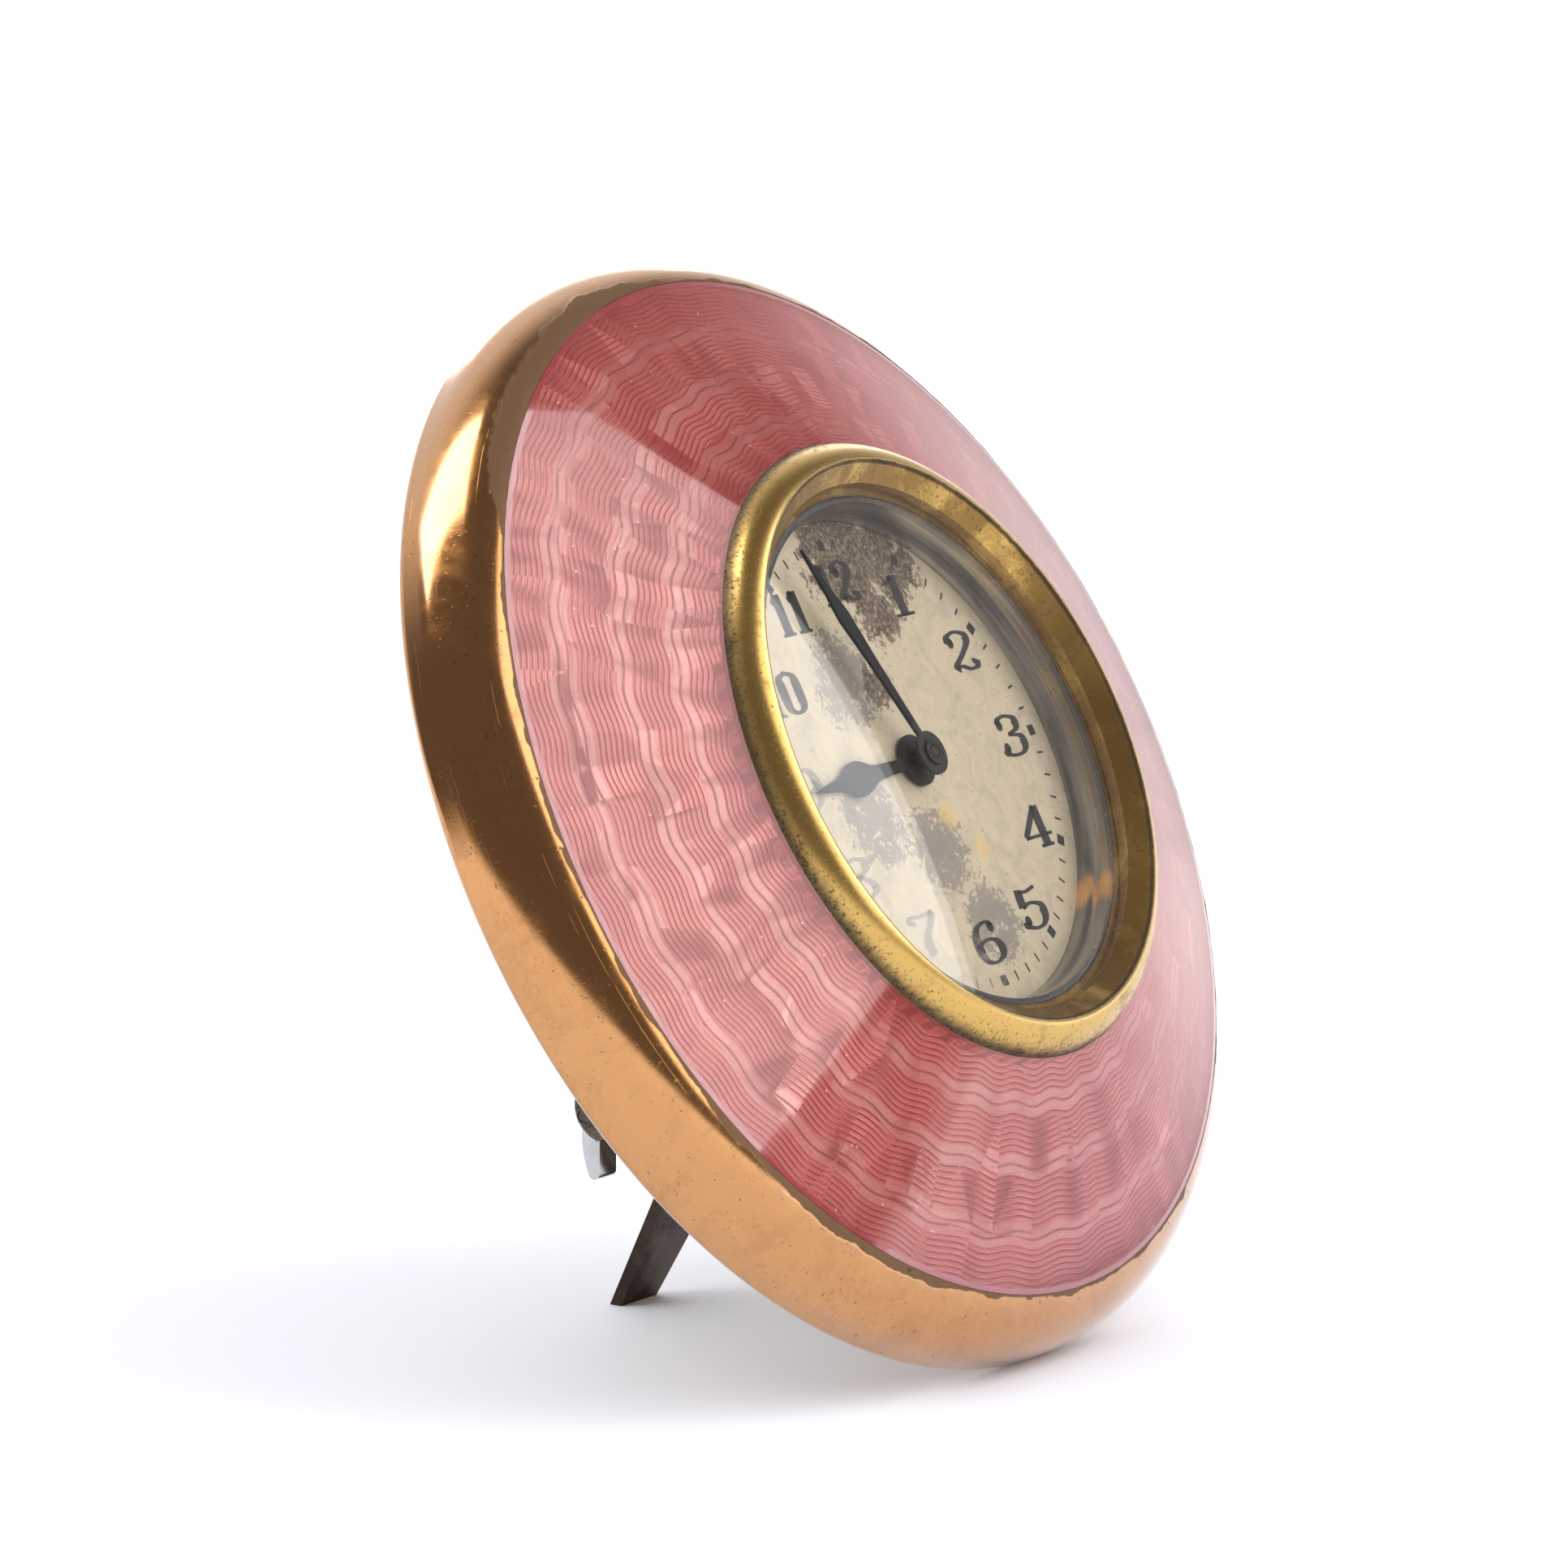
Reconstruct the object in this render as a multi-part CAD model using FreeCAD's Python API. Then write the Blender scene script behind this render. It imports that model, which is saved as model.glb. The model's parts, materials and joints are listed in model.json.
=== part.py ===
import FreeCAD, Part
import math
import os

from FreeCAD import Vector

# Pendulette clock, a round desk clock that leans back on a strut.
# It is drawn lying flat: X to 3 o'clock, Y to 12 o'clock, Z out of the dial, with zero
# height in the plane where the rim is widest. At the end it is stood up on its rim and foot.

# Stance
LEAN = 26.3             # degrees that the dial leans back from upright
STRUT_ANGLE = 54.4      # degrees between the open strut and the back

# Case
ENAMEL_R = 46.0         # outer radius of the enamel
RIM_W = 4.0             # the rim reaches this far past the enamel
ENAMEL_EDGE_H = 7.3     # height of the enamel at its outer edge
BEZEL_R = 27.75         # outer radius of the bezel where it meets the enamel
BEZEL_BASE_H = 14.4     # height of that edge
PLATE_T = 1.0           # engine-turned plate under the enamel
ENAMEL_T = 0.4          # enamel coat on the plate
RIM_BACK_ROUND = 1.1    # round of the rim's back corner, also its depth behind zero
RIM_LEDGE = 3.6         # width of the rim's inner flange, which carries the plate and the back
BACK_STEP = 0.6         # wall of the rim beside the back
CASE_BACK_T = 1.2
SEAT_GAP = 0.05         # gap at seats between fixed pieces
SCREW_R = 0.6
SCREW_HEAD_R = 1.1
SCREW_HEAD_T = 0.5
SCREW_SLOT = 0.25
BACK_SCREWS = 6

# Bezel and glass
CREST_DR = 2.3          # the crest lies this far inside the bezel's outer edge
CREST_H = 2.45          # and this far above it
CREST_FLAT = 0.12
LIP = 1.6               # the sloped inner lip falls as far as it goes in
GLASS_EDGE_T = 1.0
GLASS_DOME = 2.0        # rise of the glass from its edge to its middle
GLASS_GAP = 0.06        # between the glass edge and the bezel
GLASS_LEDGE = 0.75      # width of the ledge under the glass
SKIRT_T = 1.4           # wall of the skirt that drops into the drum
FLANK_SHARE = 0.125     # bulge of the bezel's outer flank, of its height and width

# Drum, the round housing of the movement
DRUM_WALL = 0.8
DRUM_LEDGE_T = 1.3
DRUM_FLANGE = 1.8       # outer flange that carries the inner edge of the plate
DRUM_FLANGE_T = 1.2
COVER_T = 1.2
COVER_SKIRT = 1.5
COVER_SKIRT_T = 0.8
LOCK_RING_W = 2.6
LOCK_RING_T = 1.2
BUSH_WALL = 0.7
BUSH_STAND = 0.6        # the bush stands out of the cover this far

# Dial and hands
DIAL_DROP = 3.45        # from the bezel's outer edge down to the dial
DIAL_T = 0.5
DIAL_MARGIN = 0.9       # the dial reaches this far under the reflector ring
DIAL_TURN = 1.7         # degrees that the dial is set anticlockwise
REFLECTOR_IN = 0.98     # the reflector's foot lies this far inside the bezel's bore
DIAL_FOOT_R = 0.5
DIAL_FOOT_SHARE = 0.86  # place of the feet on the dial's seen radius
REFLECTOR_T = 0.5
HAND_T = 0.3
HOUR_LIFT = 0.3         # hour hand above the dial
MINUTE_LIFT = 1.4       # minute hand above the hour hand
HOUR_SHORT = 5.7        # the hour hand ends this far inside the seen dial
MINUTE_SHORT = 1.5      # and the minute hand this far
HOUR_BOSS_R = 2.3
MINUTE_BOSS_R = 1.95
HOUR_HALF_WIDTH = 1.55
MINUTE_HALF_WIDTH = 0.85
MINUTES = 56.9          # time shown
HOURS = 8
BUSH_RING_R = 1.15
BUSH_RING_T = 0.25

# Movement frame
MAIN_DROP = 1.95        # from the dial down to the main plate
MAIN_T = 1.6
FRAME_DEPTH = 14.6      # from the main plate's face to the rear plate's
REAR_T = 1.6
COVER_DROP = 6.4        # from the rear plate's face to the back cover's outer face
FRAME_GAP = 0.6         # between the plates and the drum
PILLARS = 4
PILLAR_R = 1.4
PILLAR_INSET = 2.4
CLAMPS = 3
CLAMP_T = 0.7
CLAMP_W = 3.0
CLAMP_REACH = 1.2
FIT = 0.02              # radial clearance of pivots and other running fits
PIVOT_R = 0.3
ARBOR_R = 0.5
END_SHAKE = 0.1         # axial clearance between wheels or arbors and what they run beside

# Barrel and train: tooth counts and modules
BARREL_TEETH = 70
BARREL_MODULE = 0.25
CENTRE_LEAVES = 12
CENTRE_TEETH = 80
CENTRE_MODULE = 0.2
THIRD_LEAVES = 10
THIRD_TEETH = 75
THIRD_MODULE = 0.18
FOURTH_LEAVES = 10
FOURTH_TEETH = 80
FOURTH_MODULE = 0.15
ESCAPE_LEAVES = 8
ESCAPE_TEETH = 15
ESCAPE_R = 2.6
ESCAPE_DEPTH = 0.65
WHEEL_T = 0.45
LEVEL_GAP = 1.35        # from one wheel of the train down to the next
BARREL_H = 8.4
BARREL_WALL = 0.5
BARREL_TOOTH_T = 1.3
BARREL_ARBOR_R = 1.3
BARREL_HUB_R = 1.95     # the part of the arbor inside the barrel
SPRING_T = 0.28
SPRING_PITCH = 0.62
SPRING_TURNS = 7
SPOKES = 5
SPOKE_W = 0.9
WHEEL_RIM_SHARE = 0.12  # rim of a wheel inside its teeth, of its radius

# Directions of the arbors, in degrees from 3 o'clock towards 12 o'clock
THIRD_DIR = 105.0
FOURTH_DIR = 5.0
ESCAPE_DIR = -25.0
LEVER_DIR = -80.0

# Escapement and balance
PALLET_SPAN = 60.0
PALLET_CLEAR = 0.05
PALLET_W = 0.3
LEVER_T = 0.4
LEVER_W = 0.5
LEVER_LENGTH = 4.2      # from the lever's arbor to the balance staff
FORK_GAP = 0.5
BALANCE_R = 3.6         # the rim turns inside the reach of the lever's arbor
BALANCE_RIM = 0.8
BALANCE_T = 0.7
STAFF_R = 0.35
ROLLER_R = 1.1
ROLLER_T = 0.3
PIN_R = 0.13
HAIR_T = 0.1
HAIR_PITCH = 0.42
HAIR_TURNS = 6
HAIR_H = 0.3
COLLET_R = 0.7
STUD_R = 0.4

# Motion work and hand setting
CANNON_TEETH = 12
MINUTE_TEETH = 36
MINUTE_LEAVES = 10
HOUR_TEETH = 40
MOTION_MODULE = 0.25
MOTION_T = 0.4
MOTION_GAP = 0.15
CANNON_R = 0.9
HOUR_PIPE_R = 1.4
DIAL_HOLE_GAP = 0.2
SETTING_TEETH = 12
MINUTE_WHEEL_DIR = -50.0
SETTING_DIR = -25.0
SETTING_R = 0.9
KNOB_R = 2.8
KNOB_T = 3.0
KNOB_STAND = 1.6        # from the cover to the knob
KNOB_GROOVES = 24
KNOB_GROOVE_R = 0.14

# Winding work
KEY_X = -8.8
KEY_Y = -16.5
WINDING_TEETH = 18
RATCHET_TEETH = 44
WINDING_MODULE = 0.3
RATCHET_T = 0.7
CLICK_R = 1.0
CLICK_DIR = 160.0       # direction of the click from the ratchet wheel
CLICK_BITE = 0.03       # how far the click's nose stands in the tooth circle
CLICK_SPRING_T = 0.25
CLICK_SPRING_FOOT_R = 0.5
CLICK_SPRING_L = 6.0
CLICK_NOSE_SHARE = 0.9  # width of the nose at its root, of the click

# Winding key
KEY_SHAFT_R = 1.6
KEY_HUB_R = 2.75
KEY_HUB_ROUND = 0.9     # round of the hub's end
KEY_HUB_L = 7.6
KEY_REACH = 15.2        # from the back cover to the end of the key's hub
KEY_SLOT = 2.6
KEY_SLOT_L = 2.9
KNURLS = 20
KNURL_R = 0.28
WING_PIVOT_IN = 0.9     # from the hub's end to the wing's pin
WING_PIN_R = 0.5
WING_PIN_IN = 0.24      # the pin's ends lie this far inside the hub
WING_ROOT_R = 1.65
WING_LENGTH = 7.4
WING_DEPTH = 1.7
WING_TAIL_ROUND = 0.6
WING_SIDE_GAP = 0.05

# Strut and its hinge
HINGE_Y = -15.7
BRACKET_T = 0.8
BRACKET_HALF_W = 5.8
BRACKET_BELOW = 1.7
BRACKET_ABOVE = 5.2
BRACKET_EDGE = 0.35     # from a screw head to the bracket's edge
EAR_T = 1.2
HINGE_PIN_R = 0.6
KNUCKLE_R = 1.2
KNUCKLE_GAP = 0.2
STRUT_T = 1.1
STRUT_SHOULDER = 4.0    # from the pin to the widest place
STRUT_WIDE = 5.2        # half width there
STRUT_FOOT = 2.6        # half width at the foot

OVERRUN = 1.0           # how far cutting tools reach past what they cut

parts = {}


# Helpers

def polar(radius, degrees, centre=(0.0, 0.0)):
    """Point at a radius and direction from a centre, in the plane of the dial."""
    a = math.radians(degrees)
    return (centre[0] + radius * math.cos(a), centre[1] + radius * math.sin(a))


def distance(a, b):
    return math.hypot(a[0] - b[0], a[1] - b[1])


def direction(a, b):
    return math.degrees(math.atan2(b[1] - a[1], b[0] - a[0]))


def disc(radius, low, high, centre=(0.0, 0.0), bore=0.0):
    """Upright cylinder or tube between two heights."""
    foot = Vector(centre[0], centre[1], low)
    solid = Part.makeCylinder(radius, high - low, foot)
    if bore > 0:
        start = Vector(centre[0], centre[1], low - OVERRUN)
        solid = solid.cut(Part.makeCylinder(bore, high - low + 2 * OVERRUN, start))
    return solid


def bored(solid, radius, low, high, centre=(0.0, 0.0)):
    """The solid with an upright hole that runs past both heights."""
    return solid.cut(disc(radius, low - OVERRUN, high + OVERRUN, centre))


def prism(points, low, high):
    """Straight block over a flat outline."""
    corners = [Vector(x, y, low) for x, y in points]
    face = Part.Face(Part.makePolygon(corners + corners[:1]))
    return face.extrude(Vector(0, 0, high - low))


def line(a, b):
    return Part.LineSegment(Vector(a[0], 0, a[1]), Vector(b[0], 0, b[1])).toShape()


def arc(a, middle, b):
    ends = [Vector(p[0], 0, p[1]) for p in (a, middle, b)]
    return Part.Arc(*ends).toShape()


def turned(edges):
    """Solid turned about the dial axis from a closed profile of radius and height."""
    face = Part.Face(Part.Wire(edges))
    solid = face.revolve(Vector(0, 0, 0), Vector(0, 0, 1), 360)
    return solid


def turned_polygon(points):
    return turned([line(a, b) for a, b in zip(points, points[1:] + points[:1])])


def box(centre, size_x, size_y, low, high):
    corner = Vector(centre[0] - size_x / 2, centre[1] - size_y / 2, low)
    return Part.makeBox(size_x, size_y, high - low, corner)


def bar(start, end, width, low, high):
    """Straight bar of a width from one point to another."""
    turn = direction(start, end)
    side = polar(width / 2, turn + 90)
    points = [(start[0] + side[0], start[1] + side[1]), (end[0] + side[0], end[1] + side[1]),
              (end[0] - side[0], end[1] - side[1]), (start[0] - side[0], start[1] - side[1])]
    return prism(points, low, high)


def spin(solid, degrees, centre=(0.0, 0.0)):
    return solid.rotate(Vector(centre[0], centre[1], 0), Vector(0, 0, 1), degrees)


def screw(centre, seat, length, towards_back=True):
    """Slotted screw whose head sits on a face at the height of the seat."""
    s = -1 if towards_back else 1
    head = disc(SCREW_HEAD_R, min(seat, seat + s * SCREW_HEAD_T), max(seat, seat + s * SCREW_HEAD_T), centre)
    shank = disc(SCREW_R, min(seat, seat - s * length), max(seat, seat - s * length), centre)
    top = seat + s * SCREW_HEAD_T
    slot = box(centre, 2 * SCREW_HEAD_R + OVERRUN, SCREW_SLOT, min(top, top - s * SCREW_SLOT),
               max(top, top - s * SCREW_SLOT))
    return head.fuse(shank).cut(slot)


def group(solids):
    """Several separate solids kept together as one node."""
    return Part.makeCompound(solids)


# Toothed wheels

ADDENDUM_SHARE = 0.9    # tooth height above the pitch circle, of the module
DEDENDUM_SHARE = 1.25   # depth below it, of the module
TIP_SHARE = 0.16        # widths of a tooth, of the pitch
PITCH_SHARE = 0.4
ROOT_SHARE = 0.56


def pitch_radius(teeth, module):
    return teeth * module / 2


def toothed_outline(teeth, module, phase, centre):
    """Outline of straight-flanked teeth, one of them pointing in the direction of the phase."""
    radius = pitch_radius(teeth, module)
    step = 360 / teeth
    places = [(radius - DEDENDUM_SHARE * module, -ROOT_SHARE / 2), (radius, -PITCH_SHARE / 2),
              (radius + ADDENDUM_SHARE * module, -TIP_SHARE / 2),
              (radius + ADDENDUM_SHARE * module, TIP_SHARE / 2),
              (radius, PITCH_SHARE / 2), (radius - DEDENDUM_SHARE * module, ROOT_SHARE / 2)]
    return [polar(r, phase + step * (tooth + share), centre) for tooth in range(teeth) for r, share in places]


def pinion(teeth, module, low, high, phase, centre):
    return prism(toothed_outline(teeth, module, phase, centre), low, high)


def windows(radius, hub, low, high, centre):
    """Sector openings between the spokes of a wheel."""
    ring = disc(radius, low - OVERRUN, high + OVERRUN, centre, hub)
    for spoke in range(SPOKES):
        end = polar(radius + OVERRUN, 360 * spoke / SPOKES, centre)
        ring = ring.cut(bar(centre, end, SPOKE_W, low - OVERRUN, high + OVERRUN))
    return ring


def wheel(teeth, module, low, high, phase, centre, hub):
    body = pinion(teeth, module, low, high, phase, centre)
    inner = (pitch_radius(teeth, module) - DEDENDUM_SHARE * module) * (1 - WHEEL_RIM_SHARE)
    return body.cut(windows(inner, hub, low, high, centre))


def meshing_phase(teeth_a, phase_a, centre_a, teeth_b, centre_b):
    """Phase of wheel b that puts its gap on the tooth of wheel a where they meet."""
    towards = direction(centre_a, centre_b)
    place = (towards - phase_a) * teeth_a / 360 % 1
    return towards + 180 - 360 / teeth_b * (0.5 - place)


def between(centre_a, radius_a, centre_b, radius_b):
    """Point at two given distances from two centres, on the left of the way from a to b."""
    d = distance(centre_a, centre_b)
    along = (radius_a ** 2 - radius_b ** 2 + d ** 2) / (2 * d)
    aside = math.sqrt(max(radius_a ** 2 - along ** 2, 0))
    way = direction(centre_a, centre_b)
    foot = polar(along, way, centre_a)
    return polar(aside, way + 90, foot)


def ribbon(inner_radius, pitch, turns, thickness, low, high, centre):
    """Flat spring wound in a spiral, as a prism over a spiral strip."""
    steps = 24
    count = int(turns * steps)
    inner = [polar(inner_radius + pitch * i / steps, 360 * i / steps, centre) for i in range(count + 1)]
    outer = [polar(inner_radius + pitch * i / steps + thickness, 360 * i / steps, centre)
             for i in range(count + 1)]
    return prism(inner + outer[::-1], low, high)


# Heights and places that several pieces share

slope_run = ENAMEL_R - BEZEL_R
dial_top_h = BEZEL_BASE_H - DIAL_DROP
main_top_h = dial_top_h - MAIN_DROP
rear_top_h = main_top_h - FRAME_DEPTH
cover_back_h = rear_top_h - COVER_DROP
key_end_h = cover_back_h - KEY_REACH
slope_fall = BEZEL_BASE_H - ENAMEL_EDGE_H
slope = math.atan2(slope_fall, slope_run)
main_low = main_top_h - MAIN_T
rear_low = rear_top_h - REAR_T
cover_inner_h = cover_back_h + COVER_T
rim_r = ENAMEL_R + RIM_W
drum_r = BEZEL_R - SEAT_GAP
drum_bore = drum_r - DRUM_WALL
frame_r = drum_bore - FRAME_GAP
dial_low = dial_top_h - DIAL_T
drum_top_h = BEZEL_BASE_H - 2 * (PLATE_T + ENAMEL_T)
crest_r = BEZEL_R - CREST_DR
crest_h = BEZEL_BASE_H + CREST_H
groove_r = crest_r - CREST_FLAT - LIP
groove_h = crest_h - LIP
glass_ledge_h = groove_h - GLASS_EDGE_T
bezel_bore_r = groove_r - GLASS_LEDGE
skirt_r = bezel_bore_r + SKIRT_T
dial_sight_r = bezel_bore_r - REFLECTOR_IN
hour_length = dial_sight_r - HOUR_SHORT
minute_length = dial_sight_r - MINUTE_SHORT
dial_r = dial_sight_r + DIAL_MARGIN
drum_ledge_h = main_top_h + DRUM_LEDGE_T

centre_at = (0.0, 0.0)
key_at = (KEY_X, KEY_Y)
barrel_reach = pitch_radius(BARREL_TEETH + CENTRE_LEAVES, BARREL_MODULE)
winding_reach = pitch_radius(WINDING_TEETH + RATCHET_TEETH, WINDING_MODULE)
barrel_at = between(key_at, winding_reach, centre_at, barrel_reach)
third_at = polar(pitch_radius(CENTRE_TEETH + THIRD_LEAVES, CENTRE_MODULE), THIRD_DIR, centre_at)
fourth_at = polar(pitch_radius(THIRD_TEETH + FOURTH_LEAVES, THIRD_MODULE), FOURTH_DIR, third_at)
escape_at = polar(pitch_radius(FOURTH_TEETH + ESCAPE_LEAVES, FOURTH_MODULE), ESCAPE_DIR, fourth_at)
pallet_reach = ESCAPE_R / math.cos(math.radians(PALLET_SPAN / 2))
lever_at = polar(pallet_reach, LEVER_DIR, escape_at)
balance_at = polar(LEVER_LENGTH, LEVER_DIR, lever_at)
motion_reach = pitch_radius(CANNON_TEETH + MINUTE_TEETH, MOTION_MODULE)
minute_wheel_at = polar(motion_reach, MINUTE_WHEEL_DIR, centre_at)
setting_at = polar(pitch_radius(MINUTE_TEETH + SETTING_TEETH, MOTION_MODULE), SETTING_DIR, minute_wheel_at)

first_phase = 0.0       # a driving wheel has a tooth in the direction of 3 o'clock

# Train levels, from the main plate down
centre_low = main_low - 2 * LEVEL_GAP
third_low = centre_low - LEVEL_GAP
fourth_low = third_low - LEVEL_GAP
escape_low = fourth_low - LEVEL_GAP
barrel_top = centre_low - 2 * END_SHAKE
barrel_low = barrel_top - BARREL_H
barrel_tooth_low = barrel_low + END_SHAKE
ratchet_high = rear_low - SEAT_GAP
ratchet_low = ratchet_high - RATCHET_T
roller_low = escape_low - ROLLER_T - 2 * END_SHAKE
balance_low = roller_low - BALANCE_T - END_SHAKE
hair_low = balance_low - HAIR_H - 2 * END_SHAKE

# Motion work levels, from the main plate up
cannon_low = main_top_h + END_SHAKE
hour_low = cannon_low + MOTION_T + MOTION_GAP
hour_hand_low = dial_top_h + HOUR_LIFT
minute_hand_low = hour_hand_low + HAND_T + MINUTE_LIFT
cannon_top = minute_hand_low + HAND_T
post_top = cannon_top + BUSH_RING_T

# Strut hinge
hinge_h = cover_back_h - BRACKET_T - KNUCKLE_R - KNUCKLE_GAP


# Case

def panel_line(radius, below):
    """Height of the sloped panel at a radius, some way below its face."""
    return BEZEL_BASE_H - (radius - BEZEL_R) * math.tan(slope) - below


def rim_arc_radius():
    """Radius of the rim's front round, which leaves the enamel at the panel's slope."""
    return (rim_r - ENAMEL_R - SEAT_GAP) / (1 - math.sin(slope))


def make_case():
    edge_r = ENAMEL_R + SEAT_GAP
    edge_h = panel_line(edge_r, 0)
    round_r = rim_arc_radius()
    land_h = edge_h - round_r * math.cos(slope)
    centre = (rim_r - round_r, land_h)
    bend = (math.pi / 2 - slope) / 2
    middle = (centre[0] + round_r * math.cos(bend), centre[1] + round_r * math.sin(bend))
    back = RIM_BACK_ROUND
    corner = (rim_r - back, 0)
    half = math.sqrt(0.5) * back
    ledge_r = edge_r - RIM_LEDGE
    back_plate_r = edge_r - BACK_STEP
    under = PLATE_T + ENAMEL_T
    seat_h = panel_line(ledge_r, under + SEAT_GAP)
    plate_top = -back + CASE_BACK_T
    edges = [arc((edge_r, edge_h), middle, (rim_r, land_h)),
             line((rim_r, land_h), (rim_r, 0)),
             arc((rim_r, 0), (corner[0] + half, -half), (corner[0], -back)),
             line((corner[0], -back), (back_plate_r, -back)),
             line((back_plate_r, -back), (back_plate_r, plate_top)),
             line((back_plate_r, plate_top), (ledge_r, plate_top)),
             line((ledge_r, plate_top), (ledge_r, seat_h)),
             line((ledge_r, seat_h), (edge_r, panel_line(edge_r, under + SEAT_GAP))),
             line((edge_r, panel_line(edge_r, under + SEAT_GAP)), (edge_r, edge_h))]
    screw_r = (ledge_r + back_plate_r) / 2
    holes = [polar(screw_r, 360 * (i + 0.5) / BACK_SCREWS) for i in range(BACK_SCREWS)]
    screw_depth = CASE_BACK_T + 2 * SCREW_R
    rim = turned(edges)
    case_back = disc(back_plate_r - SEAT_GAP, -back, plate_top, bore=drum_r + SEAT_GAP)
    sunk = -back + SCREW_HEAD_T
    for at in holes:
        rim = rim.cut(disc(SCREW_R, -back, -back + screw_depth + SCREW_R, at))
        case_back = bored(case_back, SCREW_R, -back, plate_top, at)
        case_back = case_back.cut(disc(SCREW_HEAD_R + SEAT_GAP, -back - OVERRUN, sunk, at))
    parts["rim_ring"] = rim
    parts["case_back"] = case_back
    parts["case_back_screws"] = group([screw(at, sunk, screw_depth - SCREW_HEAD_T) for at in holes])

    inner_r = BEZEL_R + SEAT_GAP
    for name, top, low in (("enamel_coat", 0, ENAMEL_T), ("engine_turned_plate", ENAMEL_T, under)):
        parts[name] = turned_polygon([(inner_r, panel_line(inner_r, top)), (ENAMEL_R, panel_line(ENAMEL_R, top)),
                                      (ENAMEL_R, panel_line(ENAMEL_R, low)),
                                      (inner_r, panel_line(inner_r, low))])


def make_bezel_and_glass():
    skirt_low = drum_ledge_h + SEAT_GAP
    flank = ((BEZEL_R + crest_r) / 2 + CREST_H * FLANK_SHARE,
             (BEZEL_BASE_H + crest_h) / 2 + CREST_DR * FLANK_SHARE)
    parts["bezel"] = turned([
        arc((BEZEL_R, BEZEL_BASE_H), flank, (crest_r, crest_h)),
        line((crest_r, crest_h), (crest_r - CREST_FLAT, crest_h)),
        line((crest_r - CREST_FLAT, crest_h), (groove_r, groove_h)),
        line((groove_r, groove_h), (groove_r, glass_ledge_h)),
        line((groove_r, glass_ledge_h), (bezel_bore_r, glass_ledge_h)),
        line((bezel_bore_r, glass_ledge_h), (bezel_bore_r, skirt_low)),
        line((bezel_bore_r, skirt_low), (skirt_r, skirt_low)),
        line((skirt_r, skirt_low), (skirt_r, drum_top_h)),
        line((skirt_r, drum_top_h), (BEZEL_R, drum_top_h)),
        line((BEZEL_R, drum_top_h), (BEZEL_R, BEZEL_BASE_H))])

    # Glass: two domes of the same rise, a plain edge standing on the ledge
    glass_r = groove_r - GLASS_GAP
    outer = (glass_r ** 2 + GLASS_DOME ** 2) / (2 * GLASS_DOME)
    half = math.asin(glass_r / outer) / 2

    def dome(base):
        middle = (outer * math.sin(half), base + GLASS_DOME - outer + outer * math.cos(half))
        return arc((glass_r, base), middle, (0, base + GLASS_DOME))

    parts["glass"] = turned([
        dome(groove_h), line((0, groove_h + GLASS_DOME), (0, glass_ledge_h + GLASS_DOME)),
        dome(glass_ledge_h), line((glass_r, glass_ledge_h), (glass_r, groove_h))])

    # Reflector: thin sloped ring from the dial's seen edge up to the glass ledge
    top_r = bezel_bore_r - SEAT_GAP
    top_h = glass_ledge_h - SEAT_GAP
    parts["reflector_ring"] = turned_polygon([
        (dial_sight_r, dial_top_h), (dial_sight_r + REFLECTOR_T, dial_top_h),
        (top_r, dial_top_h + REFLECTOR_T), (top_r, top_h), (top_r - REFLECTOR_T, top_h)])


def make_drum():
    """Housing with an inner ledge over the main plate and an outer flange under the enamel plate."""
    under = PLATE_T + ENAMEL_T + SEAT_GAP
    flange_r = drum_r + DRUM_FLANGE
    flange_low = drum_top_h - DRUM_FLANGE_T
    step_r = BEZEL_R + SEAT_GAP
    bore = skirt_r + SEAT_GAP
    ledge_bore = dial_r + SEAT_GAP
    parts["movement_drum"] = turned_polygon([
        (drum_r, cover_inner_h), (drum_r, flange_low), (flange_r, flange_low),
        (flange_r, panel_line(flange_r, under)), (step_r, panel_line(step_r, under)), (step_r, drum_top_h),
        (bore, drum_top_h), (bore, drum_ledge_h), (ledge_bore, drum_ledge_h), (ledge_bore, main_top_h),
        (drum_bore, main_top_h), (drum_bore, cover_inner_h)])
    ring_low = -RIM_BACK_ROUND - LOCK_RING_T
    parts["drum_lock_ring"] = disc(drum_r + LOCK_RING_W, ring_low, -RIM_BACK_ROUND, bore=drum_r + SEAT_GAP)


def make_back_cover():
    skirt_out = drum_bore - SEAT_GAP
    cover = disc(drum_r, cover_back_h, cover_inner_h)
    skirt = disc(skirt_out, cover_inner_h, cover_inner_h + COVER_SKIRT, bore=skirt_out - COVER_SKIRT_T)
    bush_bore = KEY_SHAFT_R + FIT
    bush_r = bush_bore + BUSH_WALL
    cover = cover.fuse(skirt)
    cover = bored(cover, bush_r, cover_back_h, cover_inner_h, key_at)
    cover = bored(cover, SETTING_R + SEAT_GAP, cover_back_h, cover_inner_h, setting_at)
    for at in bracket_screw_places():
        cover = bored(cover, SCREW_R, cover_back_h, cover_inner_h, at)
    parts["back_cover"] = cover
    parts["key_bush"] = disc(bush_r, cover_back_h - BUSH_STAND, cover_inner_h, key_at, bush_bore)


# Dial and hands

def make_dial():
    parts["dial"] = disc(dial_r, dial_low, dial_top_h, bore=HOUR_PIPE_R + DIAL_HOLE_GAP)
    parts["dial_feet"] = group([disc(DIAL_FOOT_R, main_low, dial_low, at) for at in dial_foot_places()])


def dial_foot_places():
    return [polar(DIAL_FOOT_SHARE * dial_sight_r, DIAL_TURN + 90 + 120 * i) for i in range(3)]


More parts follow.
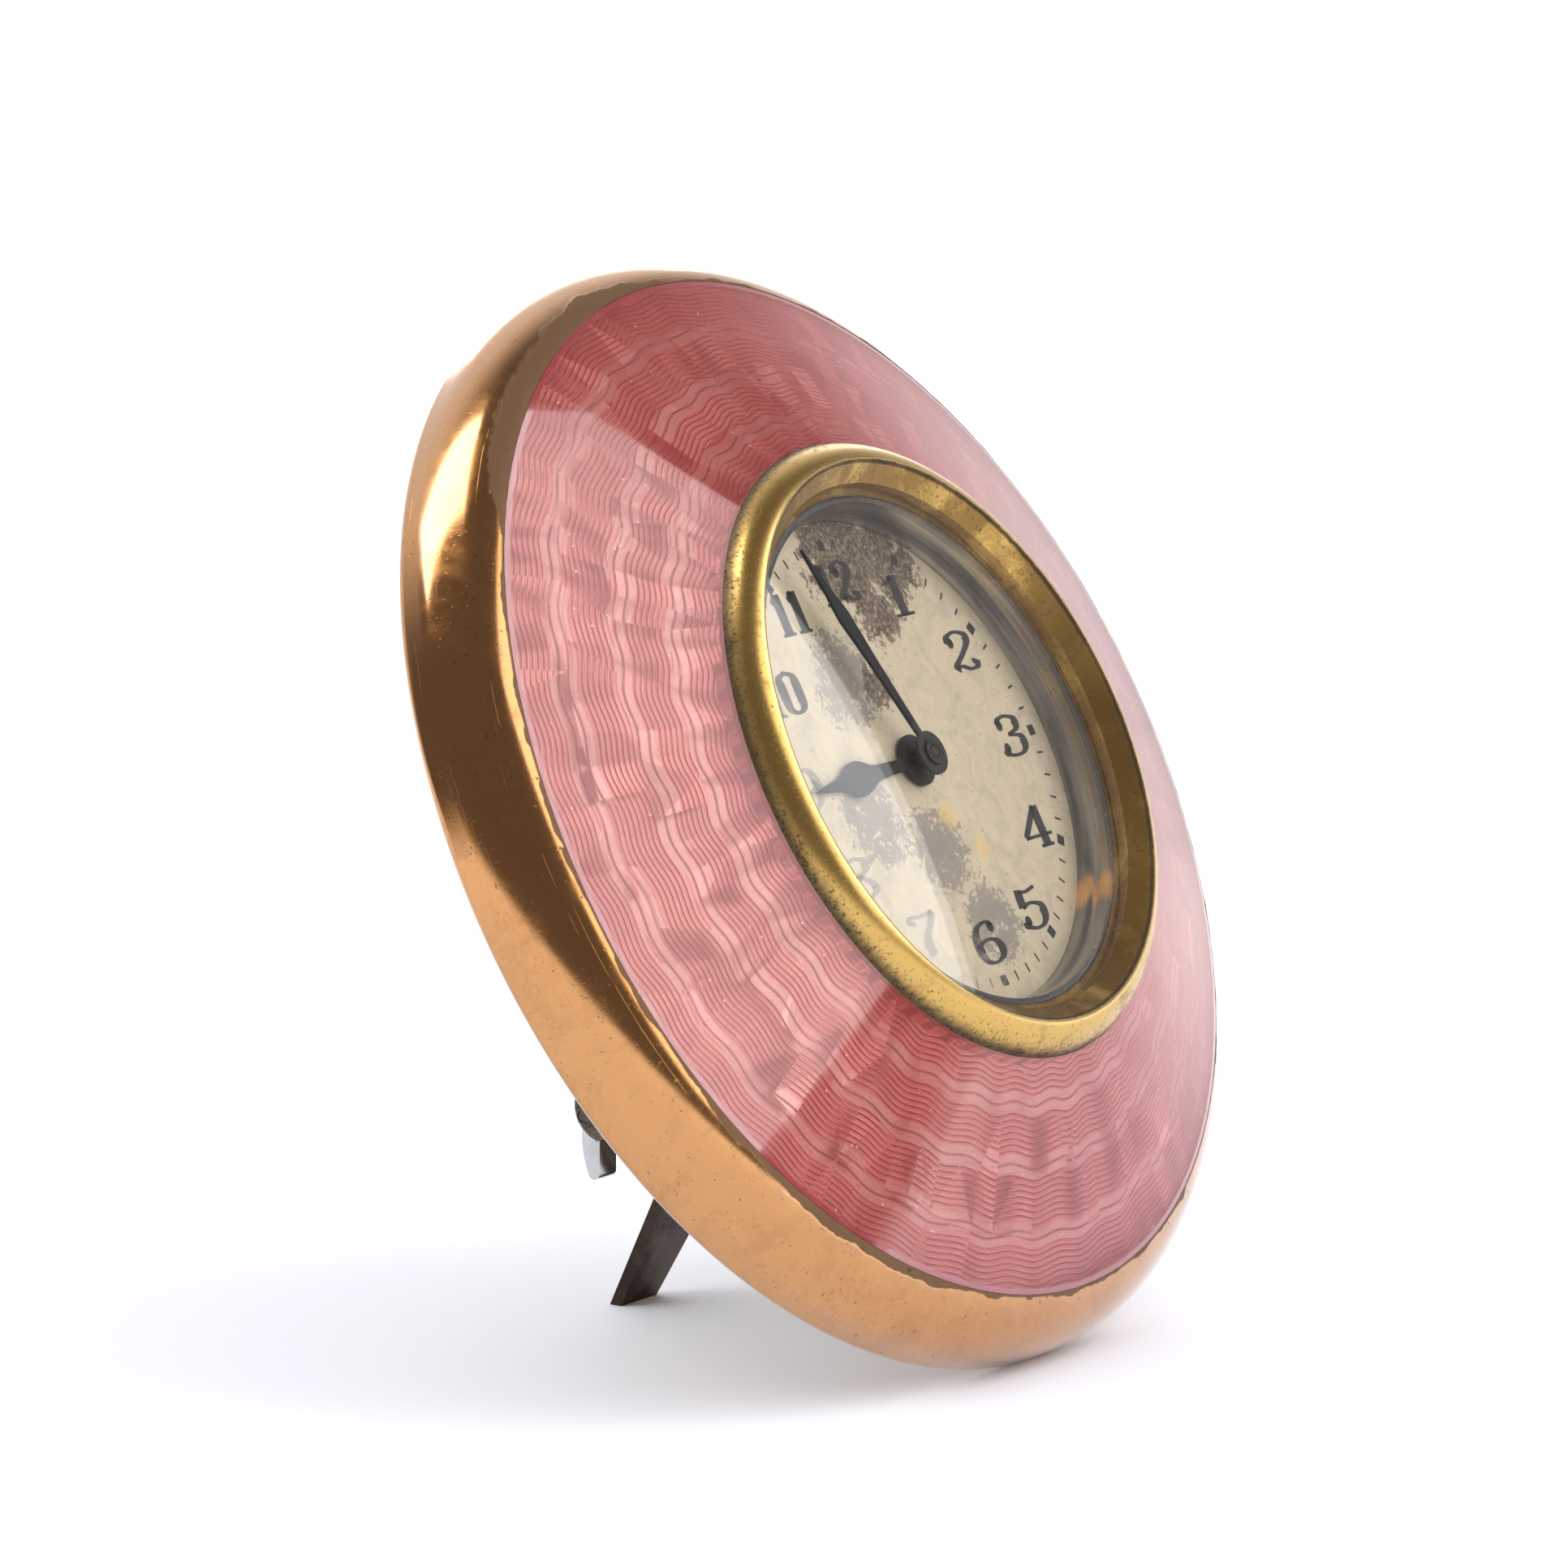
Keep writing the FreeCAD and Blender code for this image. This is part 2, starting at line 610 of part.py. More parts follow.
def hand(outline, boss_r, bore, low, turn):
    """Flat hand pointing to 12 from shares of its length and half width, then turned clockwise."""
    right = [(half, out) for out, half in outline]
    left = [(-half, out) for out, half in outline[::-1] if half > 0]
    blade = prism(right + left, low, low + HAND_T)
    whole = blade.fuse(disc(boss_r, low, low + HAND_T))
    return spin(bored(whole, bore, low, low + HAND_T), DIAL_TURN - turn)


def make_hands():
    minute_shares = ((0.0, 0.4), (0.12, 0.4), (0.42, 0.6), (0.58, 0.84), (0.67, 1.0), (0.73, 0.8),
                     (0.79, 0.5), (0.9, 0.3), (1.0, 0.0))
    hour_shares = ((0.0, 0.4), (0.2, 0.36), (0.34, 0.4), (0.43, 0.5), (0.49, 0.78), (0.54, 0.96),
                   (0.59, 1.0), (0.64, 0.9), (0.7, 0.56), (0.76, 0.36), (0.88, 0.2), (1.0, 0.0))
    minute = [(minute_length * out, MINUTE_HALF_WIDTH * half) for out, half in minute_shares]
    hour = [(hour_length * out, HOUR_HALF_WIDTH * half) for out, half in hour_shares]
    parts["minute_hand"] = hand(minute, MINUTE_BOSS_R, CANNON_R, minute_hand_low, 6 * MINUTES)
    parts["hour_hand"] = hand(hour, HOUR_BOSS_R, HOUR_PIPE_R, hour_hand_low, 30 * (HOURS + MINUTES / 60))
    parts["minute_hand_ring"] = disc(BUSH_RING_R, cannon_top, cannon_top + BUSH_RING_T, bore=CANNON_R - PIVOT_R)


# Movement frame

def make_frame():
    main = disc(frame_r, main_low, main_top_h, bore=ARBOR_R + FIT)
    rear = disc(frame_r, rear_low, rear_top_h)
    pillar_at = [polar(frame_r - PILLAR_INSET, 360 * (i + 0.5) / PILLARS) for i in range(PILLARS)]
    main_holes = [(PIVOT_R + FIT, at) for at in (third_at, fourth_at, escape_at, lever_at, balance_at)]
    rear_holes = main_holes + [(PIVOT_R + FIT, centre_at), (BARREL_ARBOR_R + FIT, barrel_at),
                               (SETTING_R + FIT, setting_at), (KEY_SHAFT_R / 2 + FIT, key_at),
                               (SCREW_R, click_at()), (STUD_R, stud_at())]
    main_holes += [(BARREL_ARBOR_R / 2 + FIT, barrel_at), (SETTING_R / 2 + FIT, setting_at),
                   (PIVOT_R, minute_wheel_at)]
    main_holes += [(DIAL_FOOT_R + FIT, at) for at in dial_foot_places()]
    main_holes += [(SCREW_R, at) for at in pillar_at]
    rear_holes += [(SCREW_R + FIT, at) for at in pillar_at]
    for radius, at in main_holes:
        main = bored(main, radius, main_low, main_top_h, at)
    for radius, at in rear_holes:
        rear = bored(rear, radius, rear_low, rear_top_h, at)
    parts["rear_plate"] = rear
    pillars = []
    for at in pillar_at:
        pillar = disc(PILLAR_R, rear_top_h, main_low, at).fuse(disc(SCREW_R, main_low, main_top_h, at))
        pillars.append(pillar.cut(disc(SCREW_R, rear_top_h - OVERRUN, rear_top_h + PILLAR_R, at)))
    parts["frame_pillars"] = group(pillars)
    parts["frame_screws"] = group([screw(at, rear_low, REAR_T + PILLAR_R) for at in pillar_at])

    # Clamps that reach from the main plate's back to the drum wall
    clamps = []
    screws = []
    low = main_low - CLAMP_T
    for i in range(CLAMPS):
        turn = 90 + 360 * i / CLAMPS
        at = polar(frame_r - CLAMP_REACH, turn)
        clamp = bar(polar(frame_r - CLAMP_W, turn), polar(drum_bore, turn), CLAMP_W, low, main_low)
        clamp = clamp.common(disc(drum_bore - SEAT_GAP, low, main_low))
        clamps.append(bored(clamp, SCREW_R, low, main_low, at))
        screws.append(screw(at, low, CLAMP_T + MAIN_T / 2))
        main = main.cut(disc(SCREW_R, low, main_low + MAIN_T / 2, at))
    parts["main_plate"] = main
    parts["movement_clamps"] = group(clamps)
    parts["clamp_screws"] = group(screws)


# Power

def make_barrel():
    body_r = pitch_radius(BARREL_TEETH, BARREL_MODULE) - (DEDENDUM_SHARE + 1) * BARREL_MODULE
    inner = body_r - BARREL_WALL
    floor = barrel_low + BARREL_WALL
    lid = barrel_top - BARREL_WALL
    neck = BARREL_ARBOR_R + FIT
    teeth = pinion(BARREL_TEETH, BARREL_MODULE, barrel_tooth_low, barrel_tooth_low + BARREL_TOOTH_T,
                   first_phase, barrel_at)
    shell = disc(body_r, barrel_low, lid, barrel_at).fuse(teeth)
    shell = shell.cut(disc(inner, floor, barrel_top, barrel_at))
    parts["barrel"] = bored(shell, neck, barrel_low, barrel_top, barrel_at)
    parts["barrel_cover"] = disc(body_r, lid, barrel_top, barrel_at, neck)

    pivot_low = main_low - END_SHAKE
    arbor_solid = disc(BARREL_ARBOR_R, ratchet_low, pivot_low, barrel_at)
    arbor_solid = arbor_solid.fuse(disc(BARREL_HUB_R, floor + END_SHAKE, lid - END_SHAKE, barrel_at))
    arbor_solid = arbor_solid.fuse(disc(BARREL_ARBOR_R / 2, pivot_low, main_top_h - END_SHAKE, barrel_at))
    screw_hole = disc(SCREW_R, ratchet_low - OVERRUN, ratchet_low + 2 * RATCHET_T, barrel_at)
    parts["barrel_arbor"] = arbor_solid.cut(screw_hole)
    coil_in = inner - SPRING_TURNS * SPRING_PITCH - SPRING_T - FIT
    parts["mainspring"] = ribbon(coil_in, SPRING_PITCH, SPRING_TURNS, SPRING_T, floor + 2 * END_SHAKE,
                                 lid - 2 * END_SHAKE, barrel_at)


def click_at():
    reach = pitch_radius(RATCHET_TEETH, WINDING_MODULE) + WINDING_MODULE + CLICK_R + CLICK_SPRING_FOOT_R
    return polar(reach, CLICK_DIR, barrel_at)


def make_winding_work():
    ratchet = pinion(RATCHET_TEETH, WINDING_MODULE, ratchet_low, ratchet_high, first_phase, barrel_at)
    parts["ratchet_wheel"] = bored(ratchet, BARREL_ARBOR_R, ratchet_low, ratchet_high, barrel_at)
    parts["ratchet_screw"] = screw(barrel_at, ratchet_low, RATCHET_T)
    phase = meshing_phase(RATCHET_TEETH, first_phase, barrel_at, WINDING_TEETH, key_at)
    driver = pinion(WINDING_TEETH, WINDING_MODULE, ratchet_low, ratchet_high, phase, key_at)
    parts["winding_pinion"] = bored(driver, KEY_SHAFT_R / 2, ratchet_low, ratchet_high, key_at)

    # Click: round body with a nose that rests on the ratchet teeth
    tip_r = pitch_radius(RATCHET_TEETH, WINDING_MODULE) + ADDENDUM_SHARE * WINDING_MODULE
    pivot = click_at()
    nose = polar(tip_r - CLICK_BITE, CLICK_DIR + 360 / RATCHET_TEETH, barrel_at)
    side = direction(pivot, nose)
    root_r = CLICK_R * CLICK_NOSE_SHARE
    points = [polar(root_r, side + 80, pivot), nose, polar(root_r, side - 80, pivot)]
    click = prism(points, ratchet_low, ratchet_high).fuse(disc(CLICK_R, ratchet_low, ratchet_high, pivot))
    parts["click"] = bored(click, SCREW_R + FIT, ratchet_low, ratchet_high, pivot)
    parts["click_screw"] = screw(pivot, ratchet_low - END_SHAKE, RATCHET_T + REAR_T)
    touch = polar(CLICK_R + CLICK_SPRING_T, CLICK_DIR, pivot)
    end = polar(CLICK_SPRING_L, CLICK_DIR + 90, polar(CLICK_R + CLICK_SPRING_T, CLICK_DIR + 90, touch))
    blade = bar(touch, end, CLICK_SPRING_T, ratchet_low, ratchet_high)
    parts["click_spring"] = blade.fuse(disc(CLICK_SPRING_FOOT_R, ratchet_low, ratchet_high, end))


# Going train

def arbor(at, low_h, high_h, pinion_solid, wheel_solid):
    """Arbor with pivots in both plates, carrying a pinion and a wheel."""
    shaft = disc(ARBOR_R, rear_top_h + END_SHAKE, main_low - END_SHAKE, at)
    shaft = shaft.fuse(disc(PIVOT_R, low_h, high_h, at))
    return shaft.fuse(pinion_solid).fuse(wheel_solid)


def make_train():
    pivot_low = rear_low + END_SHAKE
    pivot_high = main_top_h - END_SHAKE
    hub = 3 * ARBOR_R

    centre_leaf_phase = meshing_phase(BARREL_TEETH, first_phase, barrel_at, CENTRE_LEAVES, centre_at)
    leaves = pinion(CENTRE_LEAVES, BARREL_MODULE, barrel_tooth_low - END_SHAKE,
                    barrel_tooth_low + BARREL_TOOTH_T + END_SHAKE, centre_leaf_phase, centre_at)
    centre_wheel = wheel(CENTRE_TEETH, CENTRE_MODULE, centre_low, centre_low + WHEEL_T, first_phase, centre_at,
                         hub)
    centre = disc(ARBOR_R, rear_top_h + END_SHAKE, post_top, centre_at).fuse(leaves).fuse(centre_wheel)
    parts["centre_wheel"] = centre.fuse(disc(PIVOT_R, pivot_low, rear_top_h + END_SHAKE, centre_at))

    third_phase = meshing_phase(CENTRE_TEETH, first_phase, centre_at, THIRD_LEAVES, third_at)
    parts["third_wheel"] = arbor(
        third_at, pivot_low, pivot_high,
        pinion(THIRD_LEAVES, CENTRE_MODULE, centre_low - END_SHAKE, centre_low + WHEEL_T + END_SHAKE,
               third_phase, third_at),
        wheel(THIRD_TEETH, THIRD_MODULE, third_low, third_low + WHEEL_T, first_phase, third_at, hub))

    fourth_phase = meshing_phase(THIRD_TEETH, first_phase, third_at, FOURTH_LEAVES, fourth_at)
    parts["fourth_wheel"] = arbor(
        fourth_at, pivot_low, pivot_high,
        pinion(FOURTH_LEAVES, THIRD_MODULE, third_low - END_SHAKE, third_low + WHEEL_T + END_SHAKE,
               fourth_phase, fourth_at),
        wheel(FOURTH_TEETH, FOURTH_MODULE, fourth_low, fourth_low + WHEEL_T, first_phase, fourth_at, hub))

    escape_phase = meshing_phase(FOURTH_TEETH, first_phase, fourth_at, ESCAPE_LEAVES, escape_at)
    leaf_solid = pinion(ESCAPE_LEAVES, FOURTH_MODULE, fourth_low - END_SHAKE, fourth_low + WHEEL_T + END_SHAKE,
                        escape_phase, escape_at)
    parts["escape_wheel"] = arbor(escape_at, pivot_low, pivot_high, leaf_solid, escape_teeth())


def escape_teeth():
    """Pointed ratchet teeth, set a quarter tooth away from both pallets."""
    step = 360 / ESCAPE_TEETH
    start = LEVER_DIR + PALLET_SPAN / 2 + step / 4
    points = []
    for tooth in range(ESCAPE_TEETH):
        a = start + step * tooth
        points.append(polar(ESCAPE_R - ESCAPE_DEPTH, a - step / 8, escape_at))
        points.append(polar(ESCAPE_R, a, escape_at))
        points.append(polar(ESCAPE_R - ESCAPE_DEPTH, a + step / 3, escape_at))
    return prism(points, escape_low, escape_low + LEVER_T)


def make_escapement():
    low = escape_low
    high = escape_low + LEVER_T
    pallets = []
    for s in (-1, 1):
        inner = polar(ESCAPE_R + PALLET_CLEAR, LEVER_DIR + s * PALLET_SPAN / 2, escape_at)
        outer = polar(ESCAPE_R + PALLET_CLEAR + LEVER_W, LEVER_DIR + s * PALLET_SPAN / 2, escape_at)
        pallets.append(bar(inner, outer, PALLET_W, low, high))
        pallets.append(bar(outer, lever_at, LEVER_W, low, high))
    fork_end = polar(LEVER_LENGTH - ROLLER_R - FORK_GAP, LEVER_DIR, lever_at)
    lever = bar(lever_at, fork_end, LEVER_W, low, high)
    spread = math.degrees(math.atan2(FORK_GAP, LEVER_LENGTH))
    for s in (-1, 1):
        horn = polar(LEVER_LENGTH - ROLLER_R + FORK_GAP / 2, LEVER_DIR + s * spread, lever_at)
        lever = lever.fuse(bar(fork_end, horn, LEVER_W / 2, low, high))
    for piece in pallets:
        lever = lever.fuse(piece)
    lever = lever.fuse(disc(ARBOR_R, low - LEVER_T, high + LEVER_T, lever_at))
    lever = lever.fuse(disc(PIVOT_R, rear_low + END_SHAKE, main_top_h - END_SHAKE, lever_at))
    parts["pallet_lever"] = lever

    balance_high = balance_low + BALANCE_T
    rim = disc(BALANCE_R, balance_low, balance_high, balance_at, BALANCE_R - BALANCE_RIM)
    arm_r = BALANCE_R - BALANCE_RIM / 2
    arm = bar(polar(arm_r, LEVER_DIR + 90, balance_at), polar(arm_r, LEVER_DIR - 90, balance_at), SPOKE_W,
              balance_low, balance_high)
    hub = disc(2 * STAFF_R, balance_low, balance_high, balance_at)
    balance = rim.fuse(arm).fuse(hub)
    parts["balance_wheel"] = bored(balance, STAFF_R, balance_low, balance_high, balance_at)
    staff = disc(STAFF_R, rear_top_h + END_SHAKE, main_low - END_SHAKE, balance_at)
    staff = staff.fuse(disc(PIVOT_R, rear_low + END_SHAKE, main_top_h - END_SHAKE, balance_at))
    staff = staff.fuse(disc(ROLLER_R, roller_low, roller_low + ROLLER_T, balance_at))
    pin_at = polar(ROLLER_R - 2 * PIN_R, LEVER_DIR + 180, balance_at)
    staff = staff.fuse(disc(PIN_R, roller_low + ROLLER_T, escape_low - END_SHAKE / 2, pin_at))
    staff = staff.fuse(disc(COLLET_R, hair_low - END_SHAKE / 2, hair_low + HAIR_H, balance_at))
    parts["balance_staff"] = staff
    parts["hairspring"] = ribbon(COLLET_R + END_SHAKE, HAIR_PITCH, HAIR_TURNS, HAIR_T, hair_low,
                                 hair_low + HAIR_H, balance_at)
    parts["hairspring_stud"] = disc(STUD_R, rear_low, hair_low + HAIR_H, stud_at())


def stud_at():
    """Place of the stud, just outside the end of the hairspring."""
    reach = COLLET_R + END_SHAKE + HAIR_PITCH * HAIR_TURNS + HAIR_T + STUD_R + FIT
    return polar(reach, 0.0, balance_at)


# Motion work and hand setting

def make_motion_work():
    low = cannon_low
    high = cannon_low + MOTION_T
    leaf_high = hour_low + MOTION_T
    pipe_high = hour_hand_low + HAND_T
    minute_module = 2 * motion_reach / (MINUTE_LEAVES + HOUR_TEETH)
    cannon = pinion(CANNON_TEETH, MOTION_MODULE, low, high, first_phase, centre_at)
    cannon = cannon.fuse(disc(CANNON_R, low, cannon_top, centre_at))
    parts["cannon_pinion"] = bored(cannon, ARBOR_R + FIT, low, cannon_top, centre_at)

    minute_phase = meshing_phase(CANNON_TEETH, first_phase, centre_at, MINUTE_TEETH, minute_wheel_at)
    minute = pinion(MINUTE_TEETH, MOTION_MODULE, low, high, minute_phase, minute_wheel_at)
    leaves = pinion(MINUTE_LEAVES, minute_module, low, leaf_high, first_phase, minute_wheel_at)
    parts["minute_wheel"] = bored(minute.fuse(leaves), PIVOT_R + FIT, low, leaf_high, minute_wheel_at)
    parts["minute_wheel_post"] = disc(PIVOT_R, main_low, leaf_high, minute_wheel_at)

    hour_phase = meshing_phase(MINUTE_LEAVES, first_phase, minute_wheel_at, HOUR_TEETH, centre_at)
    hour = pinion(HOUR_TEETH, minute_module, hour_low, leaf_high, hour_phase, centre_at)
    hour = hour.fuse(disc(HOUR_PIPE_R, hour_low, pipe_high, centre_at))
    parts["hour_wheel"] = bored(hour, CANNON_R + FIT, hour_low, pipe_high, centre_at)

    setting_phase = meshing_phase(MINUTE_TEETH, minute_phase, minute_wheel_at, SETTING_TEETH, setting_at)
    knob_top = cover_back_h - KNOB_STAND
    knob_low = knob_top - KNOB_T
    seat = knob_top - KNOB_T / 2
    setting = pinion(SETTING_TEETH, MOTION_MODULE, low, high, setting_phase, setting_at)
    setting = setting.fuse(disc(SETTING_R / 2, main_low - END_SHAKE, high, setting_at))
    parts["setting_arbor"] = setting.fuse(disc(SETTING_R, seat, main_low - END_SHAKE, setting_at))
    knob = disc(KNOB_R, knob_low, knob_top, setting_at)
    for i in range(KNOB_GROOVES):
        groove_at = polar(KNOB_R, 360 * i / KNOB_GROOVES, setting_at)
        knob = bored(knob, KNOB_GROOVE_R, knob_low, knob_top, groove_at)
    parts["setting_knob"] = knob.cut(disc(SETTING_R, seat, knob_top + OVERRUN, setting_at))


# Winding key

def make_key():
    hub_top = key_end_h + KEY_HUB_L
    shaft = disc(KEY_SHAFT_R, hub_top, ratchet_low, key_at)
    shaft = shaft.fuse(disc(KEY_SHAFT_R / 2, ratchet_low, rear_top_h, key_at))
    hub = disc(KEY_HUB_R, key_end_h, hub_top, key_at)
    end = [edge for edge in hub.Edges if edge.BoundBox.ZMax < key_end_h + FIT]
    hub = hub.makeFillet(KEY_HUB_ROUND, end)
    for i in range(KNURLS):
        at = polar(KEY_HUB_R + KNURL_R / 2, 360 * i / KNURLS, key_at)
        hub = bored(hub, KNURL_R, key_end_h, hub_top, at)
    hub = hub.cut(box(key_at, KEY_SLOT, 2 * KEY_HUB_R + OVERRUN, key_end_h - OVERRUN, key_end_h + KEY_SLOT_L))
    pivot_h = key_end_h + WING_PIVOT_IN
    start = Vector(key_at[0] - KEY_HUB_R - OVERRUN, key_at[1], pivot_h)
    across = Vector(1, 0, 0)
    hub = hub.cut(Part.makeCylinder(WING_PIN_R, 2 * KEY_HUB_R + 2 * OVERRUN, start, across))
    parts["winding_key"] = hub.fuse(shaft)
    pin_half = KEY_HUB_R - WING_PIN_IN
    pin_start = Vector(key_at[0] - pin_half, key_at[1], pivot_h)
    parts["wing_pin"] = Part.makeCylinder(WING_PIN_R - FIT / 2, 2 * pin_half, pin_start, across)

    # Wing: a D in side view, drawn hanging along -Y and then turned to hang plumb
    half_t = KEY_SLOT / 2 - WING_SIDE_GAP
    front = WING_DEPTH / 2
    tail = (-WING_LENGTH, front)
    bulge = math.sqrt(0.5)
    middle = (-WING_LENGTH * bulge, front - WING_DEPTH * bulge)
    side = [(0, front), tail, middle, (0, front - WING_DEPTH)]
    corners = [Vector(0, y, z) for y, z in side]
    wire = Part.Wire([Part.LineSegment(corners[0], corners[1]).toShape(),
                      Part.Arc(corners[1], corners[2], corners[3]).toShape(),
                      Part.LineSegment(corners[3], corners[0]).toShape()])
    wing = Part.Face(wire).extrude(Vector(2 * half_t, 0, 0))
    tail_edge = [edge for edge in wing.Edges if edge.BoundBox.YMax < FIT - WING_LENGTH]
    wing = wing.makeFillet(WING_TAIL_ROUND, tail_edge)
    root = Part.makeCylinder(WING_ROOT_R, 2 * half_t, Vector(0, 0, 0), across)
    wing = wing.fuse(root)
    bore = Part.makeCylinder(WING_PIN_R + FIT, 2 * half_t + 2 * OVERRUN, Vector(-OVERRUN, 0, 0), across)
    wing = wing.cut(bore)
    wing = wing.rotate(Vector(0, 0, 0), across, LEAN)
    wing.translate(Vector(key_at[0] - half_t, key_at[1], pivot_h))
    parts["winding_wing"] = wing


# Strut and hinge

def bracket_screw_places():
    y = HINGE_Y + BRACKET_ABOVE - BRACKET_EDGE - SCREW_HEAD_R
    return [(s * (BRACKET_HALF_W - 2 * EAR_T), y) for s in (-1, 1)]


def floor_depth():
    """Distance of the floor below the zero point, set by the rim's back corner."""
    lean = math.radians(LEAN)
    return (rim_r - RIM_BACK_ROUND) * math.cos(lean) + RIM_BACK_ROUND


def make_strut():
    plate_low = cover_back_h - BRACKET_T
    plate = prism([(-BRACKET_HALF_W, HINGE_Y - BRACKET_BELOW), (BRACKET_HALF_W, HINGE_Y - BRACKET_BELOW),
                   (BRACKET_HALF_W, HINGE_Y + BRACKET_ABOVE), (-BRACKET_HALF_W, HINGE_Y + BRACKET_ABOVE)],
                  plate_low, cover_back_h)
    across = Vector(1, 0, 0)
    bracket = plate
    for s in (-1, 1):
        x = s * (BRACKET_HALF_W - EAR_T / 2)
        ear = Part.makeCylinder(KNUCKLE_R, EAR_T, Vector(x - EAR_T / 2, HINGE_Y, hinge_h), across)
        web = box((x, HINGE_Y), EAR_T, 2 * KNUCKLE_R, hinge_h, plate_low)
        bracket = bracket.fuse(ear).fuse(web)
    pin_start = Vector(-BRACKET_HALF_W, HINGE_Y, hinge_h)
    bracket = bracket.cut(Part.makeCylinder(HINGE_PIN_R, 2 * BRACKET_HALF_W, pin_start, across))
    for at in bracket_screw_places():
        bracket = bored(bracket, SCREW_R, plate_low, cover_back_h, at)
    parts["hinge_bracket"] = bracket
    parts["hinge_pin"] = Part.makeCylinder(HINGE_PIN_R, 2 * BRACKET_HALF_W, pin_start, across)
    parts["bracket_screws"] = group([screw(at, plate_low, BRACKET_T + COVER_T) for at in bracket_screw_places()])

    # Leg: drawn along -Y below the pin, cut off by the floor after it is swung open
    lean = math.radians(LEAN)
    swing = math.radians(STRUT_ANGLE)
    to_floor = floor_depth() + HINGE_Y * math.cos(lean) + hinge_h * math.sin(lean)
    length = to_floor / math.cos(swing - lean)
    knuckle_half = BRACKET_HALF_W - EAR_T - KNUCKLE_GAP
    beyond = length + STRUT_T
    outline = [(-knuckle_half, 0), (-knuckle_half, -STRUT_SHOULDER / 2), (-STRUT_WIDE, -STRUT_SHOULDER),
               (-STRUT_FOOT, -beyond), (STRUT_FOOT, -beyond), (STRUT_WIDE, -STRUT_SHOULDER),
               (knuckle_half, -STRUT_SHOULDER / 2), (knuckle_half, 0)]
    leg = prism(outline, -STRUT_T / 2, STRUT_T / 2)
    knuckle = Part.makeCylinder(KNUCKLE_R, 2 * knuckle_half, Vector(-knuckle_half, 0, 0), across)
    leg = leg.fuse(knuckle)
    leg = leg.cut(Part.makeCylinder(HINGE_PIN_R + FIT, 2 * knuckle_half + 2 * OVERRUN,
                                    Vector(-knuckle_half - OVERRUN, 0, 0), across))
    leg = leg.rotate(Vector(0, 0, 0), across, STRUT_ANGLE)
    leg.translate(Vector(0, HINGE_Y, hinge_h))
    below = Part.makeBox(2 * rim_r, 2 * rim_r, rim_r, Vector(-rim_r, -rim_r, -floor_depth() - rim_r))
    below = below.rotate(Vector(0, 0, 0), across, LEAN - 90)
    parts["strut_leg"] = leg.cut(below)


# Stand the clock up and write the files

def stand_up():
    """Turn the flat clock about X onto its rim and foot, and centre its box over the origin."""
    turn = FreeCAD.Rotation(Vector(1, 0, 0), 90 - LEAN)
    upright = FreeCAD.Placement(Vector(0, 0, floor_depth()), turn)
    solids = []
    for name in parts:
        shape = parts[name].copy()
        shape.Placement = upright.multiply(shape.Placement)
        parts[name] = shape
        solids.append(shape)
    bounds = Part.makeCompound(solids).optimalBoundingBox(False)
    shift = Vector(0, -(bounds.YMin + bounds.YMax) / 2, 0)
    for shape in solids:
        shape.translate(shift)
    return bounds, shift


def build():
    make_case()
    make_bezel_and_glass()
    make_drum()
    make_back_cover()
    make_dial()
    make_hands()
    make_frame()
    make_barrel()
    make_winding_work()
    make_train()
    make_escapement()
    make_motion_work()
    make_key()
    make_strut()


build()
bounds, shift = stand_up()
os.makedirs("parts", exist_ok=True)
for name, shape in parts.items():
    shape.exportStep("parts/" + name + ".step")
print(len(parts), "nodes, box", bounds.XMin, bounds.XMax, bounds.YMin, bounds.YMax, bounds.ZMin, bounds.ZMax)
print("shift", shift.y, "floor", floor_depth())
for label, at in (("key", key_at), ("barrel", barrel_at), ("centre", centre_at), ("third", third_at),
                  ("fourth", fourth_at), ("escape", escape_at), ("lever", lever_at), ("balance", balance_at),
                  ("minute wheel", minute_wheel_at), ("setting", setting_at), ("click", click_at())):
    print(label, round(at[0], 4), round(at[1], 4))
print("hinge height", hinge_h, "wing pin height", key_end_h + WING_PIVOT_IN)
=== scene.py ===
"""Looks of the pendulette clock: finishes, dial printing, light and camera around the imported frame."""

import json
import logging
import math
from dataclasses import dataclass, field
from enum import Enum
from typing import Any

import bpy
import numpy as np
from mathutils import Matrix, Vector

